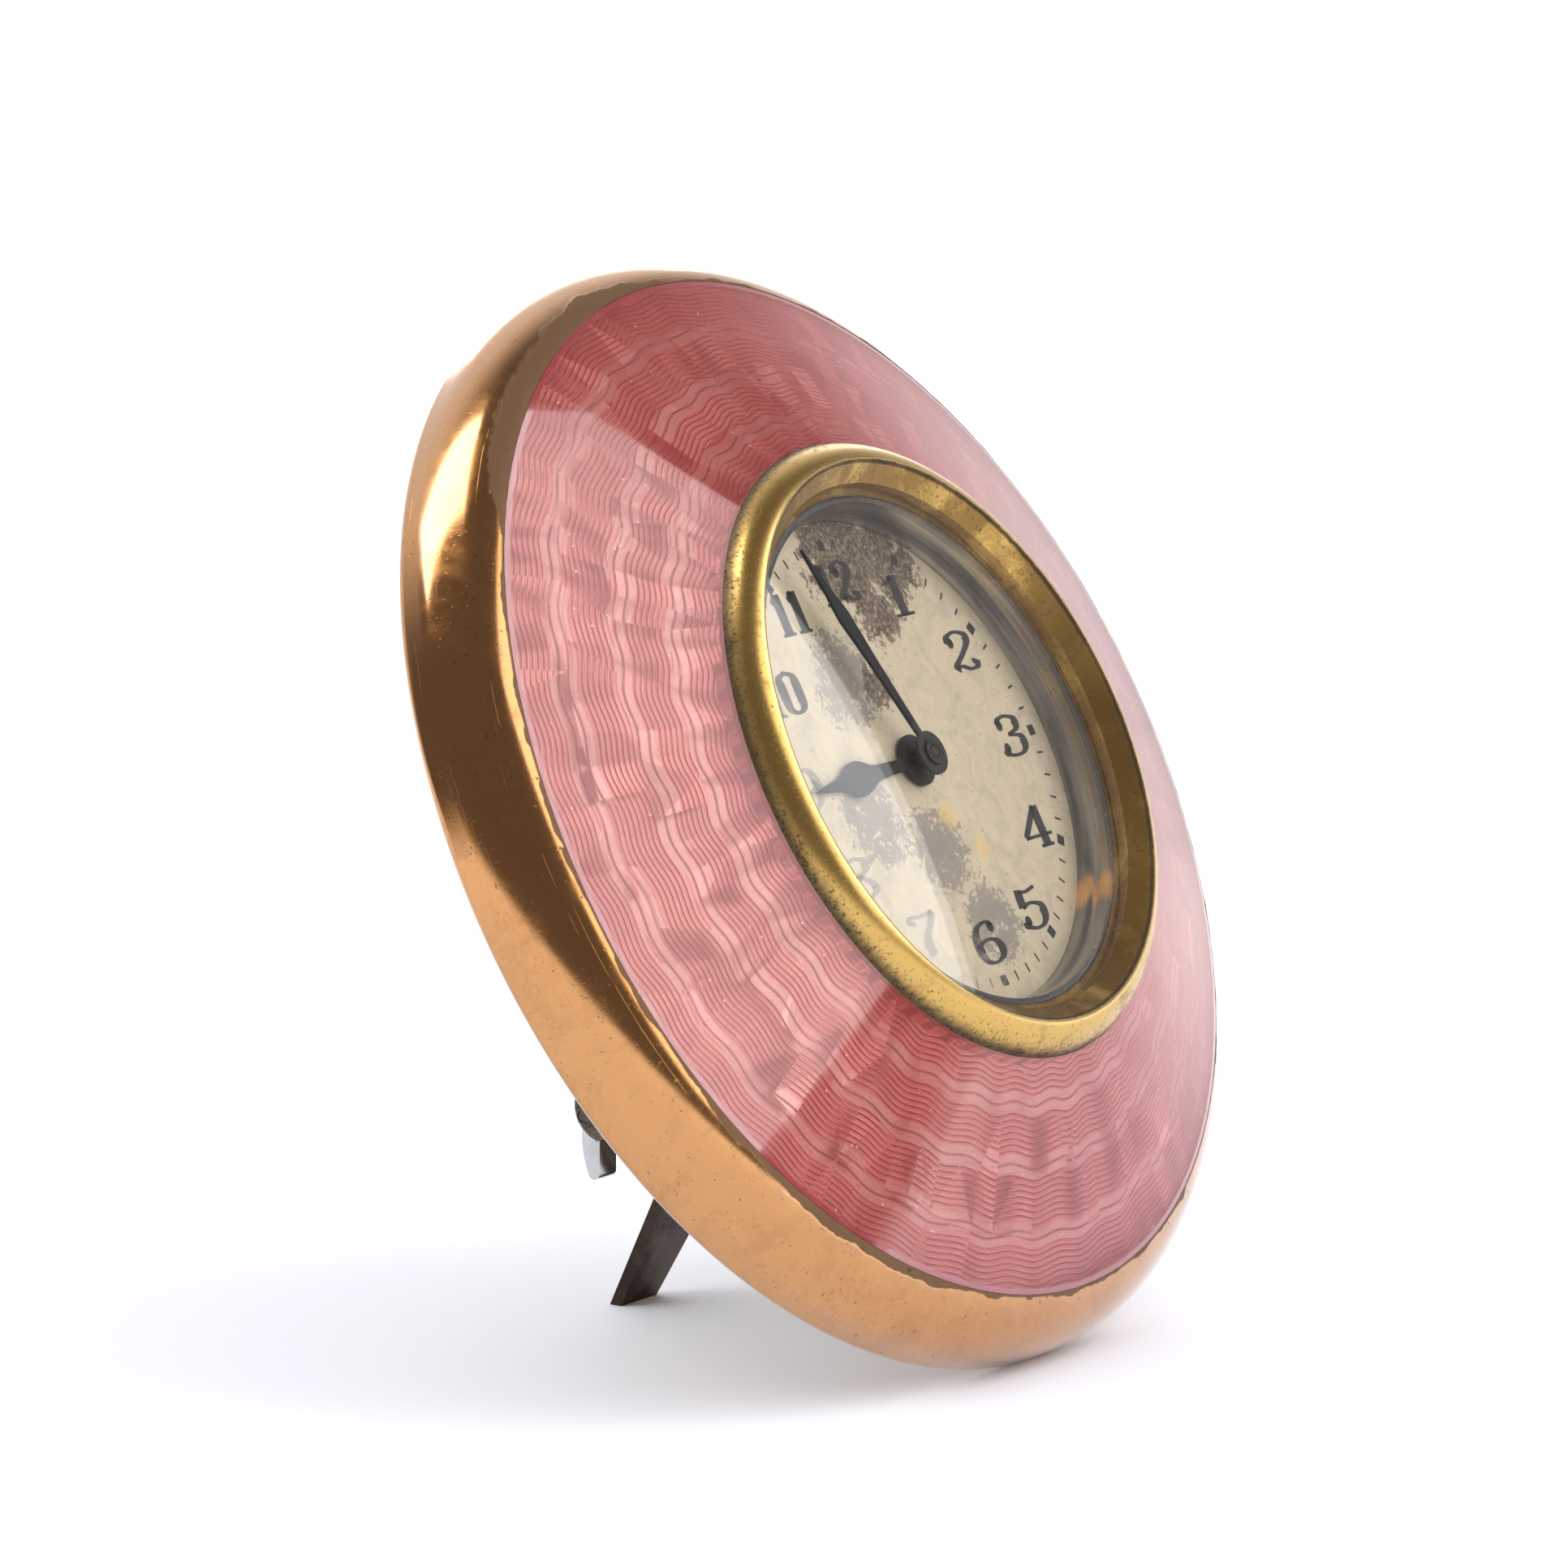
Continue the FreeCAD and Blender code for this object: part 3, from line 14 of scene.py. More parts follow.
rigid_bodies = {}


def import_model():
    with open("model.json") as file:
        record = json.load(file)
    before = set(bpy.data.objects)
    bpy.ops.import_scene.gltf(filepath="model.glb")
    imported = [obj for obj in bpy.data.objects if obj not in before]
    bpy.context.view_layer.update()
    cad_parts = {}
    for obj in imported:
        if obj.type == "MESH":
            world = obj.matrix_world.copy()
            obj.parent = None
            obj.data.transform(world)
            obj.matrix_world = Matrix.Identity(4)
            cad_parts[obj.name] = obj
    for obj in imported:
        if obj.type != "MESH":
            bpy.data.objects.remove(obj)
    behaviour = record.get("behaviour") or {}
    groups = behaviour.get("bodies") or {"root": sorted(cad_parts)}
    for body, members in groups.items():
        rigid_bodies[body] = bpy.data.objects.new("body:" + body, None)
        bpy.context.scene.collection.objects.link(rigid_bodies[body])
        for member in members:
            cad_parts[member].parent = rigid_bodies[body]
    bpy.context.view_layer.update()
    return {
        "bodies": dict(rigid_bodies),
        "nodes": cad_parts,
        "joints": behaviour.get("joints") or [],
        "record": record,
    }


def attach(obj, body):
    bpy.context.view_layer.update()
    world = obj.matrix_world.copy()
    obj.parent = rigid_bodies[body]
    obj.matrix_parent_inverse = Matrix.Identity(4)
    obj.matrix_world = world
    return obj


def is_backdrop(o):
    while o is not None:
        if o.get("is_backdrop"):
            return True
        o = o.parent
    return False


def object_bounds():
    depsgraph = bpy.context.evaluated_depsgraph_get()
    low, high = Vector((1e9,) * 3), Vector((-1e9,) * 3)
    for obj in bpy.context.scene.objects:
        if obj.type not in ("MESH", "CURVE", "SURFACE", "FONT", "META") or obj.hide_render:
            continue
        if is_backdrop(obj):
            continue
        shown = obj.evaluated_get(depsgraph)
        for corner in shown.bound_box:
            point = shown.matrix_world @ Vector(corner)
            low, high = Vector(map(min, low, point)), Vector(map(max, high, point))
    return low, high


LOG = logging.getLogger("pendulette")

# Lengths are in millimetres, but those of the lights, the floor and the camera are in metres.
MM = 0.001

# Radii and heights on the clock, from the dial's axis and from the plane behind the rim's straight side, in
# which the middle of the rim's back corner lies.
ENAMEL_R = 46.0
CREST_R = 25.45
DIAL_TOP = 10.95
RIM_CORNER = 48.9
RIM_CORNER_R = 1.1
CORNER_EASE = 0.01

# The dial leans back, and the clock stands on the rim's back corner. The dial's middle lies this far back and
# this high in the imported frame.
LEAN = math.radians(26.3)
LEAN_SIN = math.sin(LEAN)
LEAN_COS = math.cos(LEAN)
SHIFT = 1.9617045
FLOOR = RIM_CORNER * LEAN_COS + RIM_CORNER_R

# Middles of the front rounds of the rim and the bezel as radius and height, the height of the middle of the
# glass's sphere, and how far the sloped panel points out and up.
RIM_ROUND = (43.803, 1.505)
BEZEL_ROUND = (24.303, 13.469)
GLASS_MIDDLE = -123.817
PANEL_OUT = 0.36257
PANEL_UP = 0.93196

# The printing is turned a little on the dial, and has these many numbers and marks.
DIAL_TURN = math.radians(1.7)
HOURS = 12
MINUTES = 60

Colour = tuple[float, float, float]
Direction = tuple[float, float, float]
Point = tuple[float, float]
WHITE: Colour = (1.0, 1.0, 1.0)


def to_frame(points: np.ndarray) -> np.ndarray:
    """Takes points from the leaning dial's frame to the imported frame.

    The dial's frame is turned back by the lean about x and moved by the shift and the height.

    Args:
        points: Rows of x, y and height, in millimetres.

    Returns:
        Rows of x, y and z in metres.
    """
    x, y, z = points[:, 0], points[:, 1], points[:, 2]
    back = y * LEAN_SIN - z * LEAN_COS + SHIFT
    up = y * LEAN_COS + z * LEAN_SIN + FLOOR
    return np.stack([x, back, up], axis=1) * MM


class Value:
    """A shader socket or number that takes ordinary arithmetic."""

    def __init__(self, graph: "Graph", source: Any) -> None:
        """Keeps the graph and the socket or number."""
        self.graph = graph
        self.source = source

    def __add__(self, other: Any) -> "Value":
        """Sum."""
        return self.graph.maths("ADD", self, other)

    def __sub__(self, other: Any) -> "Value":
        """Difference."""
        return self.graph.maths("SUBTRACT", self, other)

    def __rsub__(self, other: Any) -> "Value":
        """Difference with this value taken away."""
        return self.graph.maths("SUBTRACT", other, self)

    def __mul__(self, other: Any) -> "Value":
        """Product."""
        return self.graph.maths("MULTIPLY", self, other)

    def __truediv__(self, other: Any) -> "Value":
        """Quotient."""
        return self.graph.maths("DIVIDE", self, other)

    def __pow__(self, other: Any) -> "Value":
        """Power."""
        return self.graph.maths("POWER", self, other)

    __radd__ = __add__
    __rmul__ = __mul__


@dataclass
class Place:
    """Where a shaded point is on the clock, in millimetres and radians."""

    x: Value
    y: Value
    height: Value
    radius: Value
    angle: Value
    point: Value


class Graph:
    """The node graph of one material."""

    # Up to the first cosine between them a face keeps its own direction, and from the second on it has the
    # exact one.
    far_cosine = 0.85
    near_cosine = 0.95

    def __init__(self, name: str) -> None:
        """Starts a material with one main shader.

        Args:
            name: Name of the material.
        """
        self.material = bpy.data.materials.new(name)
        self.material.use_nodes = True
        self.tree = self.material.node_tree
        self.shader = self.tree.nodes["Principled BSDF"]
        self._place: Place | None = None

    def node(self, kind: str, settings: dict[str, Any], inputs: dict[Any, Any], out: Any = 0) -> Value:
        """Makes any node: its settings first, then its inputs.

        Args:
            kind: Blender's node type.
            settings: Properties of the node.
            inputs: Input names or numbers with values or sockets.
            out: Name or number of the output that is wanted.

        Returns:
            The wanted output.
        """
        made = self.tree.nodes.new(kind)
        for name, value in settings.items():
            setattr(made, name, value)
        for name, value in inputs.items():
            self.put(made.inputs[name], value)
        return Value(self, made.outputs[out])

    def put(self, socket: Any, value: Any) -> None:
        """Links a socket to a value, or sets it to a number or colour.

        Args:
            socket: The input.
            value: What it gets.
        """
        source = value.source if isinstance(value, Value) else value
        if isinstance(source, bpy.types.NodeSocket):
            self.tree.links.new(source, socket)
        elif isinstance(source, tuple) and socket.type == "RGBA":
            socket.default_value = (*source, 1.0)
        else:
            socket.default_value = source

    def maths(self, operation: str, *values: Any) -> Value:
        """Math node of any operation."""
        return self.node("ShaderNodeMath", {"operation": operation}, dict(enumerate(values)))

    def sine(self, value: Any) -> Value:
        """Sine of a value in radians."""
        return self.maths("SINE", value)

    def fraction(self, value: Any) -> Value:
        """Part after the whole number."""
        return self.maths("FRACT", value)

    def span(self, value: Any, low: float, high: float, start: float = 0.0, end: float = 1.0) -> Value:
        """Takes a value from one range to another, smoothly and held at both ends.

        Args:
            value: The value.
            low: Where the first range starts.
            high: Where it ends.
            start: Result at low.
            end: Result at high.

        Returns:
            The eased value.
        """
        inputs = {"Value": value, "From Min": low, "From Max": high, "To Min": start, "To Max": end}
        return self.node("ShaderNodeMapRange", {"interpolation_type": "SMOOTHSTEP"}, inputs)

    def fade(self, value: Any, low: float, high: float) -> Value:
        """One up to low, easing to nothing at high."""
        return self.span(value, low, high, 1.0, 0.0)

    def band(self, value: Value, centre: float, half: float, soft: float) -> Value:
        """One within half of a centre, easing to nothing over the soft width."""
        return self.fade(self.maths("ABSOLUTE", value - centre), half, half + soft)

    def blend(self, share: Any, low: Any, high: Any) -> Value:
        """Mixes two colours by a share."""
        settings = {"data_type": "RGBA", "blend_type": "MIX", "clamp_factor": True}
        return self.node("ShaderNodeMix", settings, {0: share, 6: low, 7: high}, 2)

    def stretch(self, point: Value, scale: Direction) -> Value:
        """Scales a place along its three directions."""
        return self.node("ShaderNodeVectorMath", {"operation": "MULTIPLY"}, {0: point, 1: scale})

    def noise(self, point: Value, scale: float, detail: float = 4.0, rough: float = 0.55,
              warp: float = 0.0) -> Value:
        """Cloudy noise of about zero to one."""
        inputs = {"Vector": point, "Scale": scale, "Detail": detail, "Roughness": rough, "Distortion": warp}
        return self.node("ShaderNodeTexNoise", {}, inputs)

    def cells(self, point: Value, scale: float) -> Value:
        """Distance to the nearest of scattered points."""
        return self.node("ShaderNodeTexVoronoi", {}, {"Vector": point, "Scale": scale})

    def specks(self, point: Value, scale: float, core: float, rim: float) -> Value:
        """One in the core of scattered specks, easing to nothing at their rims."""
        return self.fade(self.cells(point, scale), core, rim)

    def place(self) -> Place:
        """Works out where the shaded point is, once for each graph.

        Returns:
            The place in the leaning dial's frame.
        """
        if self._place is None:
            point = self.node("ShaderNodeTexCoord", {}, {}, "Object")
            point = self.stretch(point, (1 / MM, 1 / MM, 1 / MM))
            parts = [self.node("ShaderNodeSeparateXYZ", {}, {0: point}, axis) for axis in range(3)]
            back = parts[1] - SHIFT
            up = parts[2] - FLOOR
            y = back * LEAN_SIN + up * LEAN_COS
            height = up * LEAN_SIN - back * LEAN_COS
            radius = self.maths("SQRT", parts[0] * parts[0] + y * y)
            angle = self.maths("ARCTAN2", y, parts[0])
            flat = self.node("ShaderNodeCombineXYZ", {}, {0: parts[0], 1: y, 2: height})
            self._place = Place(parts[0], y, height, radius, angle, flat)
        return self._place

    def round_about(self, turns: float, along: float) -> Value:
        """A place that runs round the dial, so that noise in it makes streaks along the circles.

        Args:
            turns: How much it moves in a radian.
            along: How much it moves in a millimetre of radius or height.

        Returns:
            The place.
        """
        at = self.place()
        parts = {0: at.angle * turns, 1: at.radius * along, 2: at.height * along}
        return self.node("ShaderNodeCombineXYZ", {}, parts)

    def grazing(self) -> Value:
        """Nothing where the face looks at the camera, up to one where it turns away."""
        return self.node("ShaderNodeLayerWeight", {}, {"Blend": 0.5}, "Facing")

    def turned(self, out: Any, rise: Any) -> Value:
        """Exact direction of a turned face, wherever the mesh's own direction is close to it.

        The direction is the radius's own times out, plus the dial's axis times rise, made one unit long.

        Args:
            out: How much it points away from the axis.
            rise: How much it points out of the dial.

        Returns:
            The direction.
        """
        at = self.place()
        across = at.y / at.radius * out
        parts = {0: at.x / at.radius * out, 1: across * LEAN_SIN - rise * LEAN_COS,
                 2: across * LEAN_COS + rise * LEAN_SIN}
        exact = self.node("ShaderNodeCombineXYZ", {}, parts)
        exact = self.node("ShaderNodeVectorMath", {"operation": "NORMALIZE"}, {0: exact})
        own = self.node("ShaderNodeNewGeometry", {}, {}, "True Normal")
        near = self.node("ShaderNodeVectorMath", {"operation": "DOT_PRODUCT"}, {0: exact, 1: own}, "Value")
        share = self.span(near, self.far_cosine, self.near_cosine)
        return self.node("ShaderNodeMix", {"data_type": "VECTOR"}, {0: share, 4: own, 5: exact}, 1)

    def bump(self, height: Value, depth: float, strength: float = 1.0, normal: Value | None = None) -> Value:
        """Turns a height into a shading direction.

        Args:
            height: Height of zero to one.
            depth: What one stands for, in millimetres.
            strength: How much of it shows.
            normal: A direction to build on.

        Returns:
            The direction.
        """
        inputs: dict[Any, Any] = {"Strength": strength, "Distance": depth * MM, "Height": height}
        if normal is not None:
            inputs["Normal"] = normal
        return self.node("ShaderNodeBump", {}, inputs)

    def finish(self, **inputs: Any) -> bpy.types.Material:
        """Sets the main shader's inputs.

        Args:
            **inputs: Values by the inputs' names, with underscores for spaces.

        Returns:
            The material.
        """
        for name, value in inputs.items():
            self.put(self.shader.inputs[name.replace("_", " ")], value)
        return self.material


class Finish:
    """A surface finish that makes its own material."""

    name: str

    def paint(self, graph: Graph) -> bpy.types.Material:
        """Builds the finish in a graph."""
        raise NotImplementedError

    def material(self) -> bpy.types.Material:
        """Makes the material, or returns the one made before."""
        found = bpy.data.materials.get(f"{self.name}_finish")
        return found or self.paint(Graph(f"{self.name}_finish"))


@dataclass(frozen=True)
class Metal(Finish):
    """Plain metal with fine scratches, dull patches and specks, and dark where the hands' centre caps it."""

    name: str
    colour: Colour
    stain: Colour
    roughness: float = 0.28
    stained: float = 0.35
    speck: float = 0.25
    brushed: float = 0.0
    metallic: float = 1.0
    shine: float = 0.5
    hub_r: float = 3.0
    hub_edge: float = 0.2
    hub_rise: float = 0.1
    hub_share: float = 0.9
    hub_shade: Colour = (0.035, 0.035, 0.03)

    def paint(self, graph: Graph) -> bpy.types.Material:
        """Builds the finish in a graph.

        Args:
            graph: The graph of the new material.

        Returns:
            The material.
        """
        at = graph.place()
        cloud = graph.noise(at.point, scale=0.16, detail=6.0, rough=0.6, warp=0.6)
        fine = graph.noise(at.point, scale=2.2, detail=5.0, rough=0.65)
        specks = graph.specks(at.point, scale=0.9, core=0.05, rim=0.16)
        hairs = graph.noise(graph.stretch(at.point, (0.5, 6.0, 1.5)), scale=1.6, detail=3.0)
        rings = graph.noise(graph.round_about(turns=0.6, along=9.0), scale=1.0, detail=3.0)
        patch = graph.span(cloud + fine * 0.18, 0.5, 0.78)
        lines = hairs * (1.0 - self.brushed) + rings * self.brushed
        hub = graph.span(at.height, DIAL_TOP, DIAL_TOP + self.hub_rise)
        hub = hub * graph.fade(at.radius, self.hub_r, self.hub_r + self.hub_edge)
        colour = graph.blend(patch * self.stained, self.colour, self.stain)
        colour = graph.blend(specks * self.speck, colour, self.stain)
        colour = graph.blend(hub * self.hub_share, colour, self.hub_shade)
        rough = self.roughness + patch * 0.2 + (lines - 0.5) * 0.16 + specks * 0.2
        relief = graph.bump(lines * 0.6 + fine * 0.4 - specks * 0.5, depth=0.012, strength=0.5)
        return graph.finish(Base_Color=colour, Metallic=self.metallic, Roughness=rough,
                            Specular_IOR_Level=self.shine, Normal=relief)


@dataclass(frozen=True)
class Reflector(Finish):
    """Polished wall between the dial and the glass, streaked along its circle, with a painted reflection in
    its colour: light and dark bands round it and an orange painted highlight at one angle.
    """

    name: str = "reflector"
    # The wall's colour runs between these two in broad bands round it: a painted reflection of its
    # surroundings.
    pale: Colour = (0.48, 0.46, 0.43)
    deep: Colour = (0.13, 0.135, 0.15)
    # Orange of a painted highlight, a reflection painted on at one angle round the wall.
    warm: Colour = (1.0, 0.55, 0.20)
    dusty: Colour = (0.30, 0.24, 0.17)
    glint_angle: float = -0.72
    glint_half: float = 0.02
    glint_soft: float = 0.07

    def paint(self, graph: Graph) -> bpy.types.Material:
        """Builds the finish in a graph.

        Args:
            graph: The graph of the new material.

        Returns:
            The material.
        """
        at = graph.place()
        arcs = graph.noise(graph.round_about(turns=0.8, along=1.0), scale=1.0, detail=3.0, rough=0.5)
        fine = graph.noise(graph.round_about(turns=3.0, along=9.0), scale=1.0, detail=4.0, rough=0.6)
        dust = graph.specks(at.point, scale=1.1, core=0.05, rim=0.12)
        shifted = at.angle + (arcs - 0.5) * 0.3
        # Painted highlight: an orange reflection painted on near one angle, with ragged sides.
        painted_glint = graph.band(shifted, self.glint_angle, self.glint_half, self.glint_soft)
        # Painted reflection: light and dark bands along the circle.
        painted_reflection_bands = graph.span(arcs + (fine - 0.5) * 0.2, 0.3, 0.72)
        colour = graph.blend(painted_reflection_bands, self.deep, self.pale)
        colour = graph.blend(painted_glint * 0.8, colour, self.warm)
        colour = graph.blend(dust * 0.3, colour, self.dusty)
        return graph.finish(Base_Color=colour, Metallic=0.9, Roughness=0.16 + fine * 0.16 + dust * 0.2,
                            Normal=graph.bump(fine, depth=0.01, strength=0.4))


@dataclass(frozen=True)
class BrownArc:
    """A stretch of the rim where its brown band is wide."""

    angle: float
    half: float
    soft: float
    share: float


@dataclass(frozen=True)
class RimGilt(Finish):
    """Polished copper-gold gilding with pits, scratches, a brown band where it meets the enamel and a painted
    highlight line beside that band.
    """

    name: str = "gilt_rim"
    colour: Colour = (0.56, 0.255, 0.075)
    worn: Colour = (0.40, 0.165, 0.042)
    tarnish: Colour = (0.085, 0.045, 0.022)
    # Lighter gold of a painted highlight line beside the brown band.
    bright: Colour = (0.86, 0.62, 0.36)
    arcs: tuple[BrownArc, ...] = (BrownArc(2.1, 0.22, 0.28, 1.0), BrownArc(-2.3, 0.1, 0.35, 0.4))
    wide_band: float = 1.5
    narrow_band: float = 0.22
    band_edge: float = 0.1
    ragged: float = 1.5
    line_full: float = 0.1
    line_end: float = 0.3
    # How far past the brown band the painted highlight line lies.
    halo_out: float = 0.16

    def brown_band(self, graph: Graph) -> tuple[Value, Value]:
        """Works out the ragged brown band along the enamel and the painted highlight line beside it.

        Args:
            graph: The graph of the new material.

        Returns:
            Shares of the brown and of the painted highlight line.
        """
        at = graph.place()
        side: Any = 0.0
        for arc in self.arcs:
            side = graph.band(at.angle, arc.angle, arc.half, arc.soft) * arc.share + side
        noise = graph.noise(graph.round_about(turns=14.0, along=0.4), scale=1.0, detail=3.0, rough=0.5)
        reach = side * self.wide_band + ENAMEL_R + self.narrow_band
        past = at.radius + (noise - 0.5) * self.ragged - reach
        line = graph.fade(at.radius, ENAMEL_R + self.line_full, ENAMEL_R + self.line_end)
        brown = graph.maths("MAXIMUM", graph.fade(past, 0.0, self.band_edge), line)
        return brown, graph.band(past, self.halo_out, 0.03, 0.08) * side

    def direction(self, graph: Graph) -> Value:
        """Exact direction of the rim's front round, straight side, back corner and flat back.

        Args:
            graph: The graph of the new material.

        Returns:
            The direction.
        """
        at = graph.place()
        behind = graph.span(at.height, -CORNER_EASE, 0.0, RIM_CORNER - RIM_ROUND[0], 0.0)
        out = graph.maths("MAXIMUM", at.radius - RIM_ROUND[0] - behind, 0.0)
        rise = graph.maths("MAXIMUM", at.height - RIM_ROUND[1], 0.0)
        return graph.turned(out, rise + graph.maths("MINIMUM", at.height, 0.0))

    def paint(self, graph: Graph) -> bpy.types.Material:
        """Builds the finish in a graph.

        Args:
            graph: The graph of the new material.

        Returns:
            The material.
        """
        at = graph.place()
        brown, painted_highlight_line = self.brown_band(graph)
        cloud = graph.noise(at.point, scale=0.12, detail=6.0, rough=0.62, warp=1.0)
        fine = graph.noise(at.point, scale=1.4, detail=6.0, rough=0.7)
        push = graph.node("ShaderNodeTexNoise", {}, {"Vector": at.point, "Scale": 1.5}, "Color")
        warped = graph.node("ShaderNodeVectorMath", {"operation": "ADD"}, {0: at.point, 1: push})
        pits = graph.specks(warped, scale=0.5, core=0.04, rim=0.11) * graph.span(fine, 0.40, 0.5)
        dotted = graph.span(cloud + fine * 0.4, 0.56, 0.72)
        dots = graph.specks(warped, scale=1.9, core=0.08, rim=0.2) * dotted
        hairs = graph.noise(graph.stretch(at.point, (0.4, 5.0, 2.0)), scale=1.1, detail=4.0)
        streaks = graph.noise(graph.round_about(turns=2.0, along=4.0), scale=1.5, detail=2.0)
        scratch = graph.span(streaks, 0.66, 0.72)
        dull = graph.span(cloud + (fine - 0.5) * 0.5, 0.42, 0.7)
        colour = graph.blend(dull * 0.45 + graph.span(hairs, 0.55, 0.75) * 0.15, self.colour, self.worn)
        # Painted highlight: a lighter gold line beside the brown band, where the band is wide.
        colour = graph.blend(painted_highlight_line * 0.6, colour, self.bright)
        colour = graph.blend(brown * 0.85, colour, self.tarnish)
        colour = graph.blend(pits * 0.85 + dots * 0.7, colour, self.tarnish)
        rough = 0.1 + dull * 0.1 + brown * 0.35 + hairs * 0.05 + pits * 0.3
        relief = hairs * 0.2 - pits - dots * 0.5 - scratch * 0.4 + fine * 0.1
        return graph.finish(Base_Color=colour, Metallic=1.0 - brown * 0.55, Roughness=rough,
                            Coat_Weight=1.0 - brown, Coat_IOR=1.55, Coat_Roughness=0.12,
                            Normal=graph.bump(relief, depth=0.03, strength=0.4, normal=self.direction(graph)))


@dataclass(frozen=True)
class BezelGilt(Finish):
    """Satin yellow gilding, speckled with brown, with dark lines beside the crest, the base and the glass,
    and a painted highlight along the crest.
    """

    name: str = "gilt_bezel"
    colour: Colour = (0.60, 0.38, 0.115)
    tarnish: Colour = (0.17, 0.095, 0.035)
    dark: Colour = (0.03, 0.02, 0.014)
    # Lighter gold of a painted highlight along the crest.
    bright: Colour = (0.88, 0.66, 0.30)
    crest_half: float = 0.1
    crest_out: float = 0.08
    seam_in: float = 0.28
    foot_low: float = 14.6
    foot_high: float = 15.7
    near_foot_high: float = 17.2
    lip_full: float = 22.75
    lip_end: float = 23.5

    def paint(self, graph: Graph) -> bpy.types.Material:
        """Builds the finish in a graph.

        Args:
            graph: The graph of the new material.

        Returns:
            The material.
        """
        at = graph.place()
        cloud = graph.noise(at.point, scale=0.22, detail=5.0, rough=0.6, warp=0.5)
        fine = graph.noise(at.point, scale=3.4, detail=6.0, rough=0.75)
        grain = graph.noise(graph.round_about(turns=26.0, along=7.0), scale=1.0, detail=4.0, rough=0.7)
        wobble = (graph.noise(at.point, scale=1.2, detail=4.0, rough=0.7) - 0.5) * 0.5
        outside = graph.span(at.radius, CREST_R - self.crest_half, CREST_R + self.crest_half)
        inside = 1.0 - outside
        foot = graph.fade(at.height + wobble * 1.6, self.foot_low, self.foot_high) * outside
        near_foot = graph.fade(at.height, self.foot_low, self.near_foot_high) * outside
        lip = graph.fade(at.radius + wobble, self.lip_full, self.lip_end) * inside
        seam = graph.band(at.radius + wobble * 0.35, CREST_R - self.seam_in, 0.05, 0.16)
        # Painted highlight: a lighter gold line just outside the crest.
        crest = graph.band(at.radius + wobble * 0.3, CREST_R + self.crest_out, 0.1, 0.2)
        specks = graph.span(fine + near_foot * 0.09 + inside * 0.03, 0.6, 0.68)
        patch = graph.span(cloud + (fine - 0.5) * 0.3 + inside * 0.26, 0.5, 0.8)
        dark = graph.maths("MAXIMUM", graph.maths("MAXIMUM", foot, lip), seam)
        colour = graph.blend(patch * 0.8, self.colour, self.tarnish)
        colour = graph.blend(crest * 0.5, colour, self.bright)
        colour = graph.blend(specks * 0.7, colour, self.dark)
        colour = graph.blend(dark * 0.85, colour, self.dark)
        rough = 0.2 + patch * 0.16 + fine * 0.1 + dark * 0.25 + specks * 0.2
        relief = fine * 0.7 + grain * 0.3 - specks * 0.6
        smooth = graph.turned((at.radius - BEZEL_ROUND[0]) * outside - inside,
                              (at.height - BEZEL_ROUND[1]) * outside + inside)
        return graph.finish(Base_Color=colour, Metallic=1.0 - dark * 0.4, Roughness=rough,
                            Normal=graph.bump(relief, depth=0.012, strength=0.4, normal=smooth))


